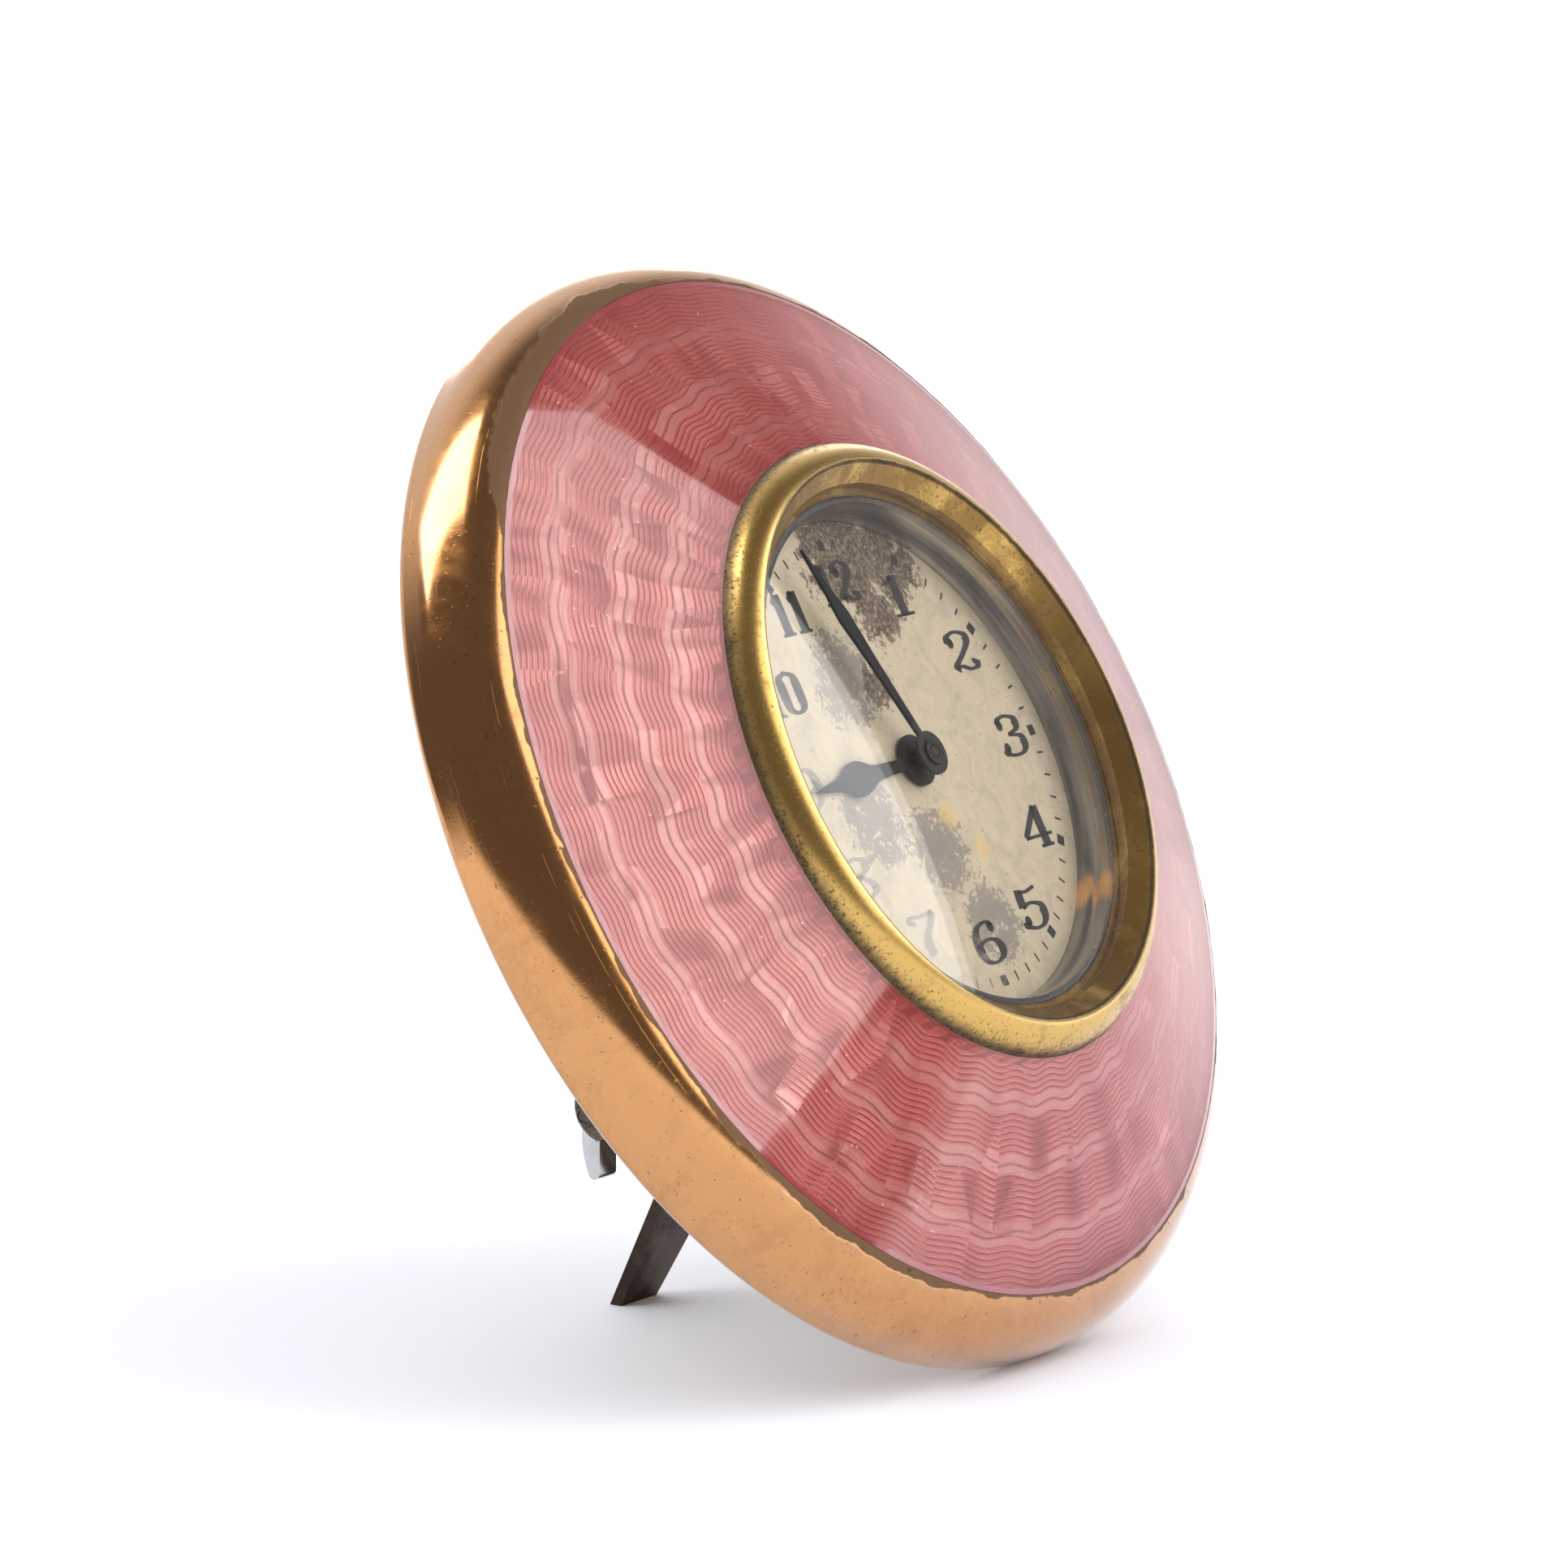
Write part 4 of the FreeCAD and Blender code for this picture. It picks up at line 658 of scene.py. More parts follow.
@dataclass(frozen=True)
class EngineTurned(Finish):
    """Bright plate cut with wavy rings in groups, between pairs of plain bands.

    Each ring's radius is its own plus a sine of the angle, and a cut lies in the middle of each step
    between rings.
    """

    name: str = "engine_turned"
    ridge: Colour = (0.93, 0.31, 0.27)
    groove: Colour = (0.16, 0.012, 0.012)
    # Colour of the plain bands: lighter, partly their own smooth polish and partly a painted reflection.
    band: Colour = (1.0, 0.60, 0.54)
    # Lighter pink of a painted highlight line on each step between cuts.
    bright: Colour = (1.0, 0.72, 0.66)
    deep: Colour = (0.75, 0.20, 0.17)
    waves: float = 36.0
    wave_phase: float = math.radians(20.0)
    wave_size: float = 0.21
    pitch: float = 0.48
    edge: float = 45.55
    edge_soft: float = 0.1
    pairs: tuple[float, ...] = (41.2, 35.75, 30.9)
    pair_half: float = 0.72
    pair_soft: float = 0.08
    seam_half: float = 0.06
    seam_soft: float = 0.1

    def paint(self, graph: Graph) -> bpy.types.Material:
        """Builds the finish in a graph.

        Args:
            graph: The graph of the new material.

        Returns:
            The material.
        """
        at = graph.place()
        wave = graph.sine(at.angle * self.waves - self.wave_phase)
        line = at.radius - wave * self.wave_size
        step = graph.fraction((self.edge - line) / self.pitch)
        cut = graph.band(step, 0.5, 0.1, 0.12)
        # Painted highlight: a thin lighter line on each step.
        painted_glint = graph.band(step, 0.8, 0.03, 0.1)
        inside = graph.fade(line, self.edge - self.edge_soft, self.edge)
        flat: Any = 0.0
        seam: Any = 0.0
        for centre in self.pairs:
            flat = graph.band(line, centre, self.pair_half, self.pair_soft) + flat
            seam = graph.band(line, centre, self.seam_half, self.seam_soft) + seam
        lined = inside * (1.0 - flat)
        dark = cut * lined + seam * 0.85
        along = graph.node("ShaderNodeCombineXYZ", {}, {0: at.angle * 60.0, 1: line * 2.0})
        tick = graph.noise(along, scale=3.0, detail=2.0)
        grain = graph.noise(at.point, scale=3.2, detail=4.0, rough=0.7)
        cloud = graph.noise(at.point, scale=0.2, detail=4.0, rough=0.6, warp=0.5)
        # The plain bands and the border past the last ring are lighter: partly their own polish, partly a
        # painted reflection.
        colour = graph.blend(flat + (1.0 - inside), self.ridge, self.band)
        colour = graph.blend(painted_glint * lined * 0.7, colour, self.bright)
        colour = graph.blend(dark * 0.95, colour, self.groove)
        colour = graph.blend(graph.span(tick + grain * 0.4, 0.55, 0.95, 0.0, 0.3), colour, self.groove)
        colour = graph.blend(graph.span(cloud, 0.35, 0.7, 0.0, 0.18), colour, self.deep)
        relief = (1.0 - dark) + tick * 0.06
        smooth = graph.turned(PANEL_OUT, PANEL_UP)
        return graph.finish(Base_Color=colour, Metallic=0.62 + flat * 0.2, Roughness=0.28 + grain * 0.12,
                            Normal=graph.bump(relief, depth=0.05, strength=0.5, normal=smooth))


@dataclass(frozen=True)
class Enamel(Finish):
    """Clear rose enamel with a glassy top, faint clouds, dust and a darker, thicker border."""

    name: str = "enamel"
    colour: Colour = (0.56, 0.11, 0.105)
    cloudy: Colour = (0.60, 0.13, 0.12)
    edge: Colour = (0.30, 0.03, 0.045)
    dusty: Colour = (0.95, 0.80, 0.78)
    tint: Colour = (1.0, 0.88, 0.94)
    alpha: float = 0.26
    border_start: float = 45.4
    border_full: float = 45.65

    def paint(self, graph: Graph) -> bpy.types.Material:
        """Builds the finish in a graph.

        Args:
            graph: The graph of the new material.

        Returns:
            The material.
        """
        at = graph.place()
        cloud = graph.noise(at.point, scale=0.14, detail=4.0, rough=0.55, warp=0.4)
        dust = graph.specks(at.point, scale=0.55, core=0.03, rim=0.075)
        border = graph.span(at.radius, self.border_start, self.border_full)
        colour = graph.blend(cloud * 0.35, self.colour, self.cloudy)
        colour = graph.blend(border * 0.9, colour, self.edge)
        colour = graph.blend(dust * 0.55, colour, self.dusty)
        slanting = graph.span(graph.grazing(), 0.5, 0.9) * 0.38
        swell = graph.noise(at.point, scale=0.09, detail=2.0)
        smooth = graph.turned(PANEL_OUT, PANEL_UP)
        relief = graph.bump(swell - dust * 0.05, depth=0.35, strength=0.25, normal=smooth)
        return graph.finish(Base_Color=colour, Roughness=0.05, IOR=1.75, Coat_Weight=1.0, Coat_Roughness=0.02,
                            Coat_IOR=1.9, Sheen_Weight=0.5, Sheen_Roughness=0.3, Sheen_Tint=self.tint,
                            Alpha=self.alpha + border * 0.45 + dust * 0.4 + slanting, Normal=relief)


@dataclass(frozen=True)
class Glass(Finish):
    """Domed watch glass: clear, and mirror-like as it turns away, with faint dust."""

    name: str = "glass"
    colour: Colour = (0.97, 0.98, 1.0)
    alpha: float = 0.02

    def paint(self, graph: Graph) -> bpy.types.Material:
        """Builds the finish in a graph.

        Args:
            graph: The graph of the new material.

        Returns:
            The material.
        """
        at = graph.place()
        dust = graph.span(graph.cells(at.point, 0.7), 0.03, 0.06, 0.12, 0.0)
        haze = graph.noise(at.point, scale=0.2, detail=5.0, rough=0.6) * 0.03
        return graph.finish(Base_Color=self.colour, Metallic=1.0, Roughness=0.03,
                            Alpha=graph.grazing() ** 4.0 * 0.9 + dust + haze + self.alpha,
                            Normal=graph.turned(at.radius, at.height - GLASS_MIDDLE))


@dataclass(frozen=True)
class Spot:
    """A stained place on the dial, in millimetres from its middle."""

    x: float
    y: float
    reach: float
    share: float = 1.0


@dataclass(frozen=True)
class Silvered(Finish):
    """Matt cream silvering with brown corrosion, grey patches and yellow stains."""

    name: str = "silvered"
    colour: Colour = (0.58, 0.48, 0.33)
    brown: Colour = (0.045, 0.027, 0.015)
    pale_brown: Colour = (0.21, 0.15, 0.095)
    grey: Colour = (0.20, 0.175, 0.155)
    yellow: Colour = (0.66, 0.45, 0.16)
    rust_spots: tuple[Spot, ...] = (Spot(1.5, 19.5, 8.0), Spot(8.0, 17.5, 6.0), Spot(3.5, 13.5, 4.5),
                                    Spot(-0.5, 7.0, 3.0, 0.9))
    grey_spots: tuple[Spot, ...] = (Spot(-5.0, 8.0, 7.0), Spot(-1.0, -8.0, 6.5), Spot(2.5, -15.0, 6.0),
                                    Spot(-9.0, -4.0, 7.0))
    yellow_spots: tuple[Spot, ...] = (Spot(2.0, -5.0, 1.6), Spot(5.4, -8.4, 1.5))

    def stains(self, graph: Graph, cloud: Value, spots: tuple[Spot, ...]) -> Value:
        """Works out how near a point is to the nearest of several ragged spots.

        Args:
            graph: The graph of the new material.
            cloud: Noise that makes the edges ragged.
            spots: The spots.

        Returns:
            One in a spot's middle, easing to nothing at its reach.
        """
        at = graph.place()
        most: Any = 0.0
        for spot in spots:
            away = graph.maths("SQRT", (at.x - spot.x) ** 2.0 + (at.y - spot.y) ** 2.0)
            away = away + (cloud - 0.5) * spot.reach * 1.6
            most = graph.maths("MAXIMUM", most, graph.fade(away, spot.reach * 0.35, spot.reach) * spot.share)
        return most

    def paint(self, graph: Graph) -> bpy.types.Material:
        """Builds the finish in a graph.

        Args:
            graph: The graph of the new material.

        Returns:
            The material.
        """
        at = graph.place()
        fine = graph.noise(at.point, scale=2.4, detail=6.0, rough=0.7)
        cloud = graph.noise(at.point, scale=0.35, detail=6.0, rough=0.65, warp=0.8)
        grain = graph.noise(graph.stretch(at.point, (7.0, 1.2, 1.0)), scale=1.0, detail=4.0, rough=0.65)
        fleck = graph.noise(at.point, scale=1.0, detail=8.0, rough=0.8)
        specks = graph.specks(at.point, scale=0.8, core=0.05, rim=0.12)
        wear = graph.span(cloud + fine * 0.3, 0.5, 0.85)
        rust = self.stains(graph, cloud, self.rust_spots)
        rust = graph.span(rust + (grain - 0.5) * 1.6 + (fleck - 0.5) * 3.4, 0.5, 0.62)
        greys = self.stains(graph, cloud, self.grey_spots)
        greys = graph.span(greys + (cloud - 0.5) * 1.6 + (fleck - 0.5) * 2.4 + (fine - 0.5) * 2.2, 0.58, 0.8)
        yellows = self.stains(graph, cloud, self.yellow_spots)
        peppered = graph.span(fleck + (fine - 0.5) * 0.8, 0.42, 0.62)
        peppered = graph.blend(peppered, self.brown, self.pale_brown)
        colour = graph.blend(wear * 0.3, self.colour, self.grey)
        colour = graph.blend(greys * 0.75, colour, self.grey)
        colour = graph.blend(yellows * 0.6, colour, self.yellow)
        colour = graph.blend(rust * (0.95 - graph.span(fine, 0.58, 0.66) * 0.5), colour, peppered)
        colour = graph.blend(specks * 0.5, colour, self.brown)
        return graph.finish(Base_Color=colour, Metallic=0.2, Roughness=0.45 + wear * 0.15,
                            Normal=graph.bump(fine + grain * 0.5, depth=0.012, strength=0.35))


@dataclass(frozen=True)
class Ink(Finish):
    """Black printing, slightly rubbed, and faded towards one side of the dial."""

    name: str = "dial_ink"
    colour: Colour = (0.022, 0.019, 0.018)
    rubbed: Colour = (0.16, 0.12, 0.09)
    faded: Colour = (0.36, 0.31, 0.25)
    fade_x: float = -0.86
    fade_y: float = -0.5
    fade_start: float = 7.5
    fade_end: float = 13.0
    ragged: float = 9.0

    def paint(self, graph: Graph) -> bpy.types.Material:
        """Builds the finish in a graph.

        Args:
            graph: The graph of the new material.

        Returns:
            The material.
        """
        at = graph.place()
        rub = graph.span(graph.noise(at.point, scale=3.0, detail=5.0, rough=0.7), 0.6, 0.8)
        noise = graph.noise(at.point, scale=0.9, detail=4.0, rough=0.7)
        far = at.x * self.fade_x + at.y * self.fade_y + (noise - 0.5) * self.ragged
        colour = graph.blend(rub * 0.5, self.colour, self.rubbed)
        colour = graph.blend(graph.span(far, self.fade_start, self.fade_end) * 0.85, colour, self.faded)
        return graph.finish(Base_Color=colour, Roughness=0.5 + rub * 0.2)


@dataclass(frozen=True)
class PaleFloor(Finish):
    """Plain pale surface with a painted shade tone: darker and cooler near the clock, where its shadow falls,
    and plain pale further out.
    """

    name: str = "floor"
    # Painted shade tone: darker and cooler near the clock, so that its shadow looks cool.
    near: Colour = (0.88, 0.91, 0.995)
    far: Colour = (0.99, 0.99, 0.99)
    near_m: float = 0.1
    far_m: float = 0.5

    def paint(self, graph: Graph) -> bpy.types.Material:
        """Builds the finish in a graph.

        Args:
            graph: The graph of the new material.

        Returns:
            The material.
        """
        point = graph.node("ShaderNodeTexCoord", {}, {}, "Object")
        reach = graph.node("ShaderNodeVectorMath", {"operation": "LENGTH"}, {0: point}, "Value")
        # Painted shade tone near the clock, easing to the plain pale colour further out.
        colour = graph.blend(graph.span(reach, self.near_m, self.far_m), self.near, self.far)
        return graph.finish(Base_Color=colour, Roughness=0.75, Specular_IOR_Level=0.0)


class Tone(Enum):
    """Finishes of the CAD nodes, by the record's material slots."""

    gilt_rim = RimGilt()
    gilt_bezel = BezelGilt()
    enamel = Enamel()
    engine_turned = EngineTurned()
    glass = Glass()
    silvered = Silvered()
    brass = Metal("brass", (0.76, 0.58, 0.28), (0.40, 0.25, 0.10),
                  roughness=0.26, stained=0.4, speck=0.2, brushed=0.8)
    case_brass = Metal("case_brass", (0.55, 0.39, 0.21), (0.17, 0.10, 0.055),
                       roughness=0.34, stained=0.6, speck=0.35, brushed=0.5)
    reflector = Reflector()
    steel = Metal("steel", (0.56, 0.56, 0.58), (0.24, 0.22, 0.20),
                  roughness=0.22, stained=0.3, speck=0.2, brushed=0.3)
    blued_steel = Metal("blued_steel", (0.07, 0.11, 0.34), (0.05, 0.05, 0.12),
                        roughness=0.2, stained=0.5, speck=0.15, brushed=0.3)
    blackened_steel = Metal("blackened_steel", (0.012, 0.012, 0.014), (0.03, 0.022, 0.018),
                            roughness=0.5, stained=0.4, speck=0.3, metallic=0.1, shine=0.2)
    dark_steel = Metal("dark_steel", (0.20, 0.165, 0.14), (0.06, 0.045, 0.035),
                       roughness=0.36, stained=0.7, speck=0.5)
    strut_bronze = Metal("strut_bronze", (0.075, 0.052, 0.040), (0.035, 0.024, 0.018),
                         roughness=0.42, stained=0.7, speck=0.5, metallic=0.85)


@dataclass
class Surface:
    """Collects points and faces of one piece in the leaning dial's frame."""

    points: list[np.ndarray] = field(default_factory=list)
    faces: list[np.ndarray] = field(default_factory=list)
    count: int = 0

    def grid(self, rows: np.ndarray) -> None:
        """Adds a sheet of quads from a grid of points.

        Args:
            rows: Array of rows by columns by three, in millimetres.
        """
        down, along = rows.shape[:2]
        corner = (np.arange(down - 1)[:, None] * along + np.arange(along - 1)[None, :]).ravel() + self.count
        self.faces.append(np.stack([corner, corner + 1, corner + along + 1, corner + along], axis=1))
        self.points.append(rows.reshape(-1, 3))
        self.count += down * along

    def piece(self, name: str, finish: Finish, body: str, slot: str) -> bpy.types.Object:
        """Makes the object, gives it its finish and lets it ride on a body.

        Args:
            name: Name of the piece.
            finish: Its finish.
            body: CAD body that it moves with.
            slot: Material slot of the record. Not used.

        Returns:
            The object.
        """
        mesh = bpy.data.meshes.new(name)
        mesh.from_pydata(to_frame(np.concatenate(self.points)), [], np.concatenate(self.faces))
        mesh.validate()
        made = bpy.data.objects.new(name, mesh)
        bpy.context.scene.collection.objects.link(made)
        mesh.materials.append(finish.material())
        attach(made, body)
        return made


@dataclass(frozen=True)
class Figure:
    """A figure in a box one unit tall, drawn with a broad pen.

    Strokes run smoothly through their points, and dots end the curls. A stroke that goes up or down is thick,
    and one that goes across is thin.
    """

    wide: float
    strokes: list[list[Point]]
    dots: list[Point] = field(default_factory=list)


FIGURES: dict[str, Figure] = {
    "0": Figure(0.60, [
        [(0.30, 0.985), (0.10, 0.85), (0.07, 0.50), (0.10, 0.15), (0.30, 0.015), (0.50, 0.15),
         (0.53, 0.50), (0.50, 0.85), (0.30, 0.985)],
    ]),
    "1": Figure(0.42, [
        [(0.22, 1.00), (0.22, 0.66), (0.22, 0.33), (0.22, 0.00)],
        [(0.04, 0.80), (0.12, 0.86), (0.22, 0.97)],
        [(0.02, 0.02), (0.22, 0.02), (0.42, 0.02)],
    ]),
    "2": Figure(0.60, [
        [(0.10, 0.72), (0.13, 0.90), (0.30, 0.985), (0.48, 0.88), (0.48, 0.68), (0.32, 0.44),
         (0.13, 0.22), (0.07, 0.06)],
        [(0.07, 0.10), (0.20, 0.14), (0.36, 0.04), (0.50, 0.06), (0.54, 0.24)],
    ], [(0.14, 0.74)]),
    "3": Figure(0.58, [
        [(0.08, 0.80), (0.16, 0.95), (0.30, 0.985), (0.46, 0.88), (0.44, 0.64), (0.24, 0.53)],
        [(0.24, 0.53), (0.46, 0.45), (0.50, 0.24), (0.42, 0.06), (0.26, 0.015), (0.10, 0.08),
         (0.06, 0.22)],
    ], [(0.12, 0.79), (0.11, 0.22)]),
    "4": Figure(0.62, [
        [(0.42, 1.00), (0.42, 0.66), (0.42, 0.33), (0.42, 0.00)],
        [(0.42, 0.98), (0.20, 0.60), (0.02, 0.29)],
        [(0.02, 0.28), (0.30, 0.28), (0.60, 0.28)],
        [(0.28, 0.02), (0.42, 0.02), (0.56, 0.02)],
    ]),
    "5": Figure(0.58, [
        [(0.14, 0.98), (0.12, 0.78), (0.11, 0.54)],
        [(0.13, 0.95), (0.28, 0.90), (0.50, 0.97)],
        [(0.11, 0.54), (0.28, 0.62), (0.48, 0.52), (0.50, 0.26), (0.40, 0.06), (0.24, 0.015),
         (0.08, 0.10), (0.07, 0.22)],
    ], [(0.11, 0.22)]),
    "6": Figure(0.60, [
        [(0.50, 0.86), (0.38, 0.975), (0.20, 0.90), (0.09, 0.66), (0.08, 0.34), (0.16, 0.08),
         (0.31, 0.015), (0.47, 0.10), (0.53, 0.30), (0.46, 0.50), (0.31, 0.57), (0.15, 0.50),
         (0.09, 0.34)],
    ], [(0.46, 0.84)]),
    "7": Figure(0.56, [
        [(0.04, 0.78), (0.07, 0.95), (0.24, 0.93), (0.40, 0.95), (0.54, 0.98)],
        [(0.54, 0.98), (0.42, 0.72), (0.28, 0.46), (0.24, 0.22), (0.26, 0.00)],
    ]),
    "8": Figure(0.58, [
        [(0.29, 0.985), (0.12, 0.88), (0.14, 0.68), (0.30, 0.53), (0.46, 0.36), (0.50, 0.18),
         (0.29, 0.015), (0.08, 0.18), (0.12, 0.38), (0.29, 0.53), (0.44, 0.68), (0.46, 0.88),
         (0.29, 0.985)],
    ]),
    "9": Figure(0.60, [
        [(0.10, 0.14), (0.22, 0.025), (0.40, 0.10), (0.51, 0.34), (0.52, 0.66), (0.44, 0.92),
         (0.29, 0.985), (0.13, 0.90), (0.07, 0.70), (0.14, 0.50), (0.29, 0.43), (0.45, 0.50),
         (0.51, 0.66)],
    ], [(0.14, 0.16)]),
}


@dataclass
class DialPrint:
    """Numbers, hour blocks and minute dashes printed on the dial."""

    number_r: float = 16.5
    outer_number_r: float = 17.1
    outer_hours: tuple[int, ...] = (5, 11)
    number_tall: float = 3.7
    single_wide: float = 2.0
    double_wide: float = 1.3
    gap: float = 0.1
    thick: float = 0.62
    thin: float = 0.15
    dot_r: float = 0.5
    dot_core: float = 0.02
    dot_points: int = 15
    track_r: float = 19.95
    block: tuple[float, float] = (0.95, 0.95)
    dash: tuple[float, float] = (0.85, 0.2)
    lift: float = 0.02
    per_span: int = 7
    surface: Surface = field(default_factory=Surface)

    def smooth(self, points: list[Point]) -> np.ndarray:
        """Runs a smooth line through points.

        Each span is the cubic whose end slopes are half the way between the neighbours.

        Args:
            points: The points.

        Returns:
            Rows of x and y along the line.
        """
        p = np.array(points)
        ends = np.concatenate([[2 * p[0] - p[1]], p, [2 * p[-1] - p[-2]]])
        t = np.linspace(0, 1, self.per_span, endpoint=False)[None, :, None]
        a, b, c, d = (ends[i:len(ends) - 3 + i, None, :] for i in range(4))
        squared = (2 * a - 5 * b + 4 * c - d) * t ** 2
        cubed = (3 * b - a - 3 * c + d) * t ** 3
        curve = 0.5 * (2 * b + (c - a) * t + squared + cubed)
        return np.concatenate([curve.reshape(-1, 2), p[-1:]])

    def ribbon(self, line: np.ndarray) -> None:
        """Adds a stroke whose width follows how steeply it runs.

        Its sides lie half a width off the line, square to its run, and the half width goes from thin to
        thick with the square of the run's upward share.

        Args:
            line: Points along the stroke, flat and in millimetres.
        """
        run = np.gradient(line, axis=0)
        run /= np.linalg.norm(run, axis=1, keepdims=True)
        steep = run[:, 1:] ** 2
        half = self.thin + (self.thick - self.thin) * steep
        side = np.stack([-run[:, 1], run[:, 0]], axis=1) * half
        rows = np.stack([line - side, line + side])
        self.surface.grid(self.on_dial(rows.reshape(-1, 2)).reshape(2, -1, 3))

    def dot(self, at: np.ndarray) -> None:
        """Adds a round dot: two circles of points, a tiny one in the middle and one at the edge.

        Args:
            at: The dot's middle, flat and in millimetres.
        """
        turn = np.linspace(0, -2 * np.pi, self.dot_points)
        ring = np.stack([np.cos(turn), np.sin(turn)], axis=1)
        rows = at + ring[None] * (np.array([self.dot_core, 1.0]) * self.dot_r)[:, None, None]
        self.surface.grid(self.on_dial(rows.reshape(-1, 2)).reshape(2, -1, 3))

    def on_dial(self, flat: np.ndarray) -> np.ndarray:
        """Turns flat points with the printing and lays them just above the dial.

        Args:
            flat: Rows of x and y.

        Returns:
            Rows of x, y and height.
        """
        cos, sin = math.cos(DIAL_TURN), math.sin(DIAL_TURN)
        x = flat[:, 0] * cos - flat[:, 1] * sin
        y = flat[:, 0] * sin + flat[:, 1] * cos
        return np.stack([x, y, np.full(len(x), DIAL_TOP + self.lift)], axis=1)

    def outwards(self, share: float) -> np.ndarray:
        """Direction from the dial's middle after a share of a turn, clockwise from twelve."""
        return np.array([math.sin(math.tau * share), math.cos(math.tau * share)])

    def number(self, hour: int) -> None:
        """Writes one upright number at its hour.

        Args:
            hour: The number.
        """
        text = str(hour)
        stretch = self.single_wide if len(text) == 1 else self.double_wide
        wide = sum(FIGURES[letter].wide for letter in text) + self.gap * (len(text) - 1)
        reach = self.outer_number_r if hour in self.outer_hours else self.number_r
        middle = self.outwards(hour / HOURS) * reach
        scale = np.array([stretch, 1.0]) * self.number_tall
        start = 0.0
        for letter in text:
            figure = FIGURES[letter]
            shift = np.array([start - wide / 2, -0.5])
            for stroke in figure.strokes:
                self.ribbon((self.smooth(stroke) + shift) * scale + middle)
            for at in figure.dots:
                self.dot((np.array(at) + shift) * scale + middle)
            start += figure.wide + self.gap

    def mark(self, minute: int) -> None:
        """Prints one block or dash of the minute track.

        Args:
            minute: The minute that it stands at.
        """
        along, across = self.block if minute % (MINUTES // HOURS) == 0 else self.dash
        out = self.outwards(minute / MINUTES)
        side = np.array([-out[1], out[0]])
        ends = np.array([-0.5, 0.5])
        rows = out * (self.track_r + ends[:, None, None] * along) + side * (ends[None, :, None] * across)
        self.surface.grid(self.on_dial(rows.reshape(-1, 2)).reshape(2, 2, 3))

    def build(self) -> bpy.types.Object:
        """Builds all the printing as one piece.

        Returns:
            The object.
        """
        for hour in range(1, HOURS + 1):
            self.number(hour)
        for minute in range(MINUTES):
            self.mark(minute)
        return self.surface.piece("dial_print", Ink(), "case", "silvered")


@dataclass
class Clock:
    """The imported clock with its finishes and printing."""

    frame: dict[str, Any]
    wing: str = "winding_wing"
    wing_finish: Finish = Metal("worn_bright", (0.55, 0.54, 0.53), (0.25, 0.22, 0.19),
                                roughness=0.12, stained=0.4, speck=0.3)

    def dress(self) -> None:
        """Gives every CAD node the finish of its material slot, and the key's wing its own."""
        for part in self.frame["record"]["subparts"]:
            node = self.frame["nodes"][part["node"]]
            finish = self.wing_finish if part["node"] == self.wing else Tone[part["material_slot"]].value
            node.data.materials.clear()
            node.data.materials.append(finish.material())
            LOG.info("%s: %s", part["node"], finish.name)

    def build(self) -> None:
        """Dresses the nodes and adds the printing."""
        self.dress()
        made = DialPrint().build()
        LOG.info("%s: %d faces", made.name, len(made.data.polygons))


@dataclass
class Softbox:
    """A flat soft light that faces the clock, in metres."""

    name: str
    towards: Direction
    distance: float
    width: float
    tall: float
    brightness: float
    on_matt: bool = True
    mirrored: bool = True

    def build(self) -> None:
        """Places the light so that it shines at the dial's middle."""
        data = bpy.data.lights.new(self.name, "AREA")
        data.shape = "RECTANGLE"
        data.size = self.width
        data.size_y = self.tall
        data.energy = math.pi * self.width * self.tall * self.brightness
        light = bpy.data.objects.new(self.name, data)
        bpy.context.scene.collection.objects.link(light)
        back = Vector(self.towards).normalized()
        turn = back.to_track_quat("Z", "Y").to_matrix().to_4x4()
        light.matrix_world = Matrix.Translation(Vector((0, 0, FLOOR * MM)) + back * self.distance) @ turn
        light.visible_camera = False
        light.visible_diffuse = self.on_matt
        light.visible_glossy = self.mirrored


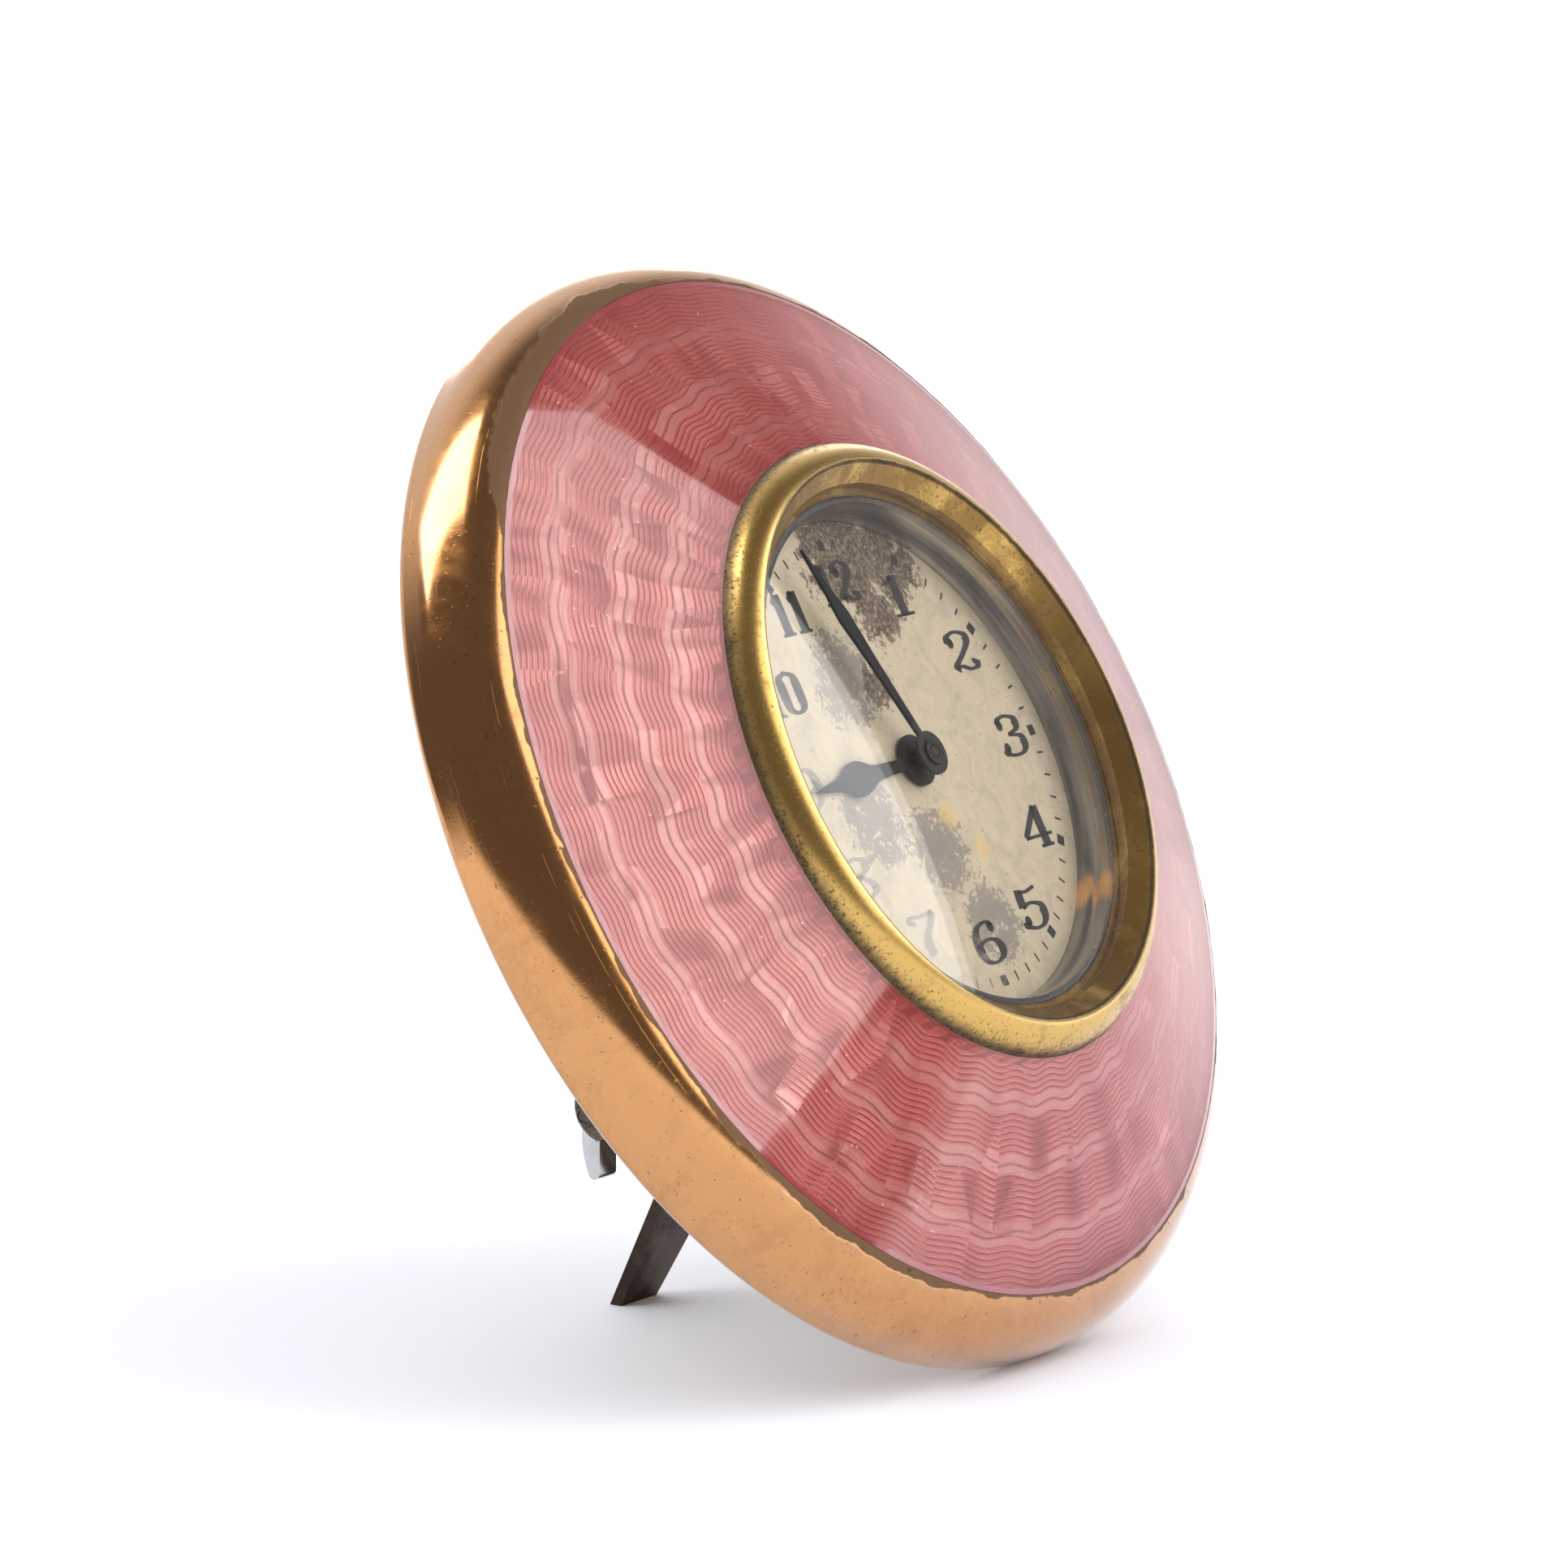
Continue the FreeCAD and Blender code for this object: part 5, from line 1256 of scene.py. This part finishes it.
@dataclass
class Studio:
    """Floor, white backdrop and lights.

    What the clock mirrors is dim, but for one white side behind it and the lights.
    """

    floor_reach: float = 6.0
    ambient: Colour = WHITE
    mirrored: Colour = (0.17, 0.155, 0.155)
    white_side: Direction = (0.55, 0.82, 0.15)
    white_start: float = 0.45
    white_full: float = 0.8
    boxes: tuple[Softbox, ...] = (
        Softbox("front_box", (0.36, -0.76, 0.54), distance=0.9, width=0.80, tall=0.86, brightness=2.6),
        Softbox("left_box", (-0.80, 0.40, 0.62), distance=0.8, width=0.36, tall=0.62, brightness=2.4,
                mirrored=False),
        Softbox("high_box", (-0.22, 0.48, 0.85), distance=0.8, width=0.30, tall=0.70, brightness=7.0,
                on_matt=False),
        Softbox("back_box", (0.75, 0.62, 0.30), distance=0.9, width=0.60, tall=0.50, brightness=1.6),
    )

    def floor(self) -> None:
        """Lays a plain pale floor."""
        mesh = bpy.data.meshes.new("floor")
        corners = np.array([(-1.0, -1.0, 0.0), (1.0, -1.0, 0.0), (1.0, 1.0, 0.0), (-1.0, 1.0, 0.0)])
        mesh.from_pydata(corners * self.floor_reach, [], [(0, 1, 2, 3)])
        floor = bpy.data.objects.new("floor", mesh)
        bpy.context.scene.collection.objects.link(floor)
        mesh.materials.append(PaleFloor().material())
        floor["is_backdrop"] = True

    def backdrop(self) -> None:
        """Makes the surroundings white to the camera, dimmer in mirrored rays, and ambient to the rest."""
        world = bpy.data.worlds.new("studio")
        bpy.context.scene.world = world
        world.use_nodes = True
        tree = world.node_tree
        sky = tree.nodes["Background"]
        rays = tree.nodes.new("ShaderNodeLightPath")
        look = tree.nodes.new("ShaderNodeTexCoord")
        rear = tree.nodes.new("ShaderNodeVectorMath")
        rear.operation = "DOT_PRODUCT"
        rear.inputs[1].default_value = self.white_side
        ease = tree.nodes.new("ShaderNodeMapRange")
        ease.interpolation_type = "SMOOTHSTEP"
        ease.inputs["From Min"].default_value = self.white_start
        ease.inputs["From Max"].default_value = self.white_full
        around = tree.nodes.new("ShaderNodeMix")
        glossy = tree.nodes.new("ShaderNodeMix")
        seen = tree.nodes.new("ShaderNodeMix")
        for mix in (around, glossy, seen):
            mix.data_type = "RGBA"
        tree.links.new(look.outputs["Generated"], rear.inputs[0])
        tree.links.new(rear.outputs["Value"], ease.inputs["Value"])
        tree.links.new(ease.outputs[0], around.inputs[0])
        around.inputs[6].default_value = (*self.mirrored, 1.0)
        around.inputs[7].default_value = (*WHITE, 1.0)
        glossy.inputs[6].default_value = (*self.ambient, 1.0)
        seen.inputs[7].default_value = (*WHITE, 1.0)
        tree.links.new(rays.outputs["Is Glossy Ray"], glossy.inputs[0])
        tree.links.new(around.outputs[2], glossy.inputs[7])
        tree.links.new(glossy.outputs[2], seen.inputs[6])
        tree.links.new(rays.outputs["Is Camera Ray"], seen.inputs[0])
        tree.links.new(seen.outputs[2], sky.inputs["Color"])

    def build(self) -> None:
        """Builds the floor, the backdrop and the lights."""
        self.floor()
        self.backdrop()
        for box in self.boxes:
            box.build()


@dataclass
class Camera:
    """The camera that was fitted to the photograph.

    Angles are in degrees, the lens and sensor in millimetres, and the rest in metres from the dial's middle.
    """

    azimuth: float = -56.875
    elevation: float = 8.014
    distance: float = 0.5275
    right: float = -0.00257
    up: float = 0.00223
    lens: float = 142.17
    sensor: float = 36.0

    def build(self) -> None:
        """Places the camera and sets the picture's look."""
        turn, rise = math.radians(self.azimuth), math.radians(self.elevation)
        back = Vector((math.sin(turn) * math.cos(rise), -math.cos(turn) * math.cos(rise), math.sin(rise)))
        right = Vector((math.cos(turn), math.sin(turn), 0.0))
        up = back.cross(right)
        data = bpy.data.cameras.new("camera")
        data.lens = self.lens
        data.sensor_width = self.sensor
        camera = bpy.data.objects.new("camera", data)
        bpy.context.scene.collection.objects.link(camera)
        middle = Vector((0, SHIFT * MM, FLOOR * MM))
        spot = middle + back * self.distance + right * self.right + up * self.up
        camera.matrix_world = Matrix.Translation(spot) @ Matrix((right, up, back)).transposed().to_4x4()
        bpy.context.scene.camera = camera
        bpy.context.scene.view_settings.view_transform = "Standard"


def corners() -> list[list[float]]:
    """Lowest and highest corner of what shows, as plain lists."""
    return [list(corner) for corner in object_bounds()]


def main() -> None:
    """Builds the clock's looks, the studio and the camera."""
    logging.basicConfig(level=logging.INFO, format="%(message)s")
    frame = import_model()
    Clock(frame).build()
    Studio().build()
    Camera().build()


if __name__ == "__main__":
    main()
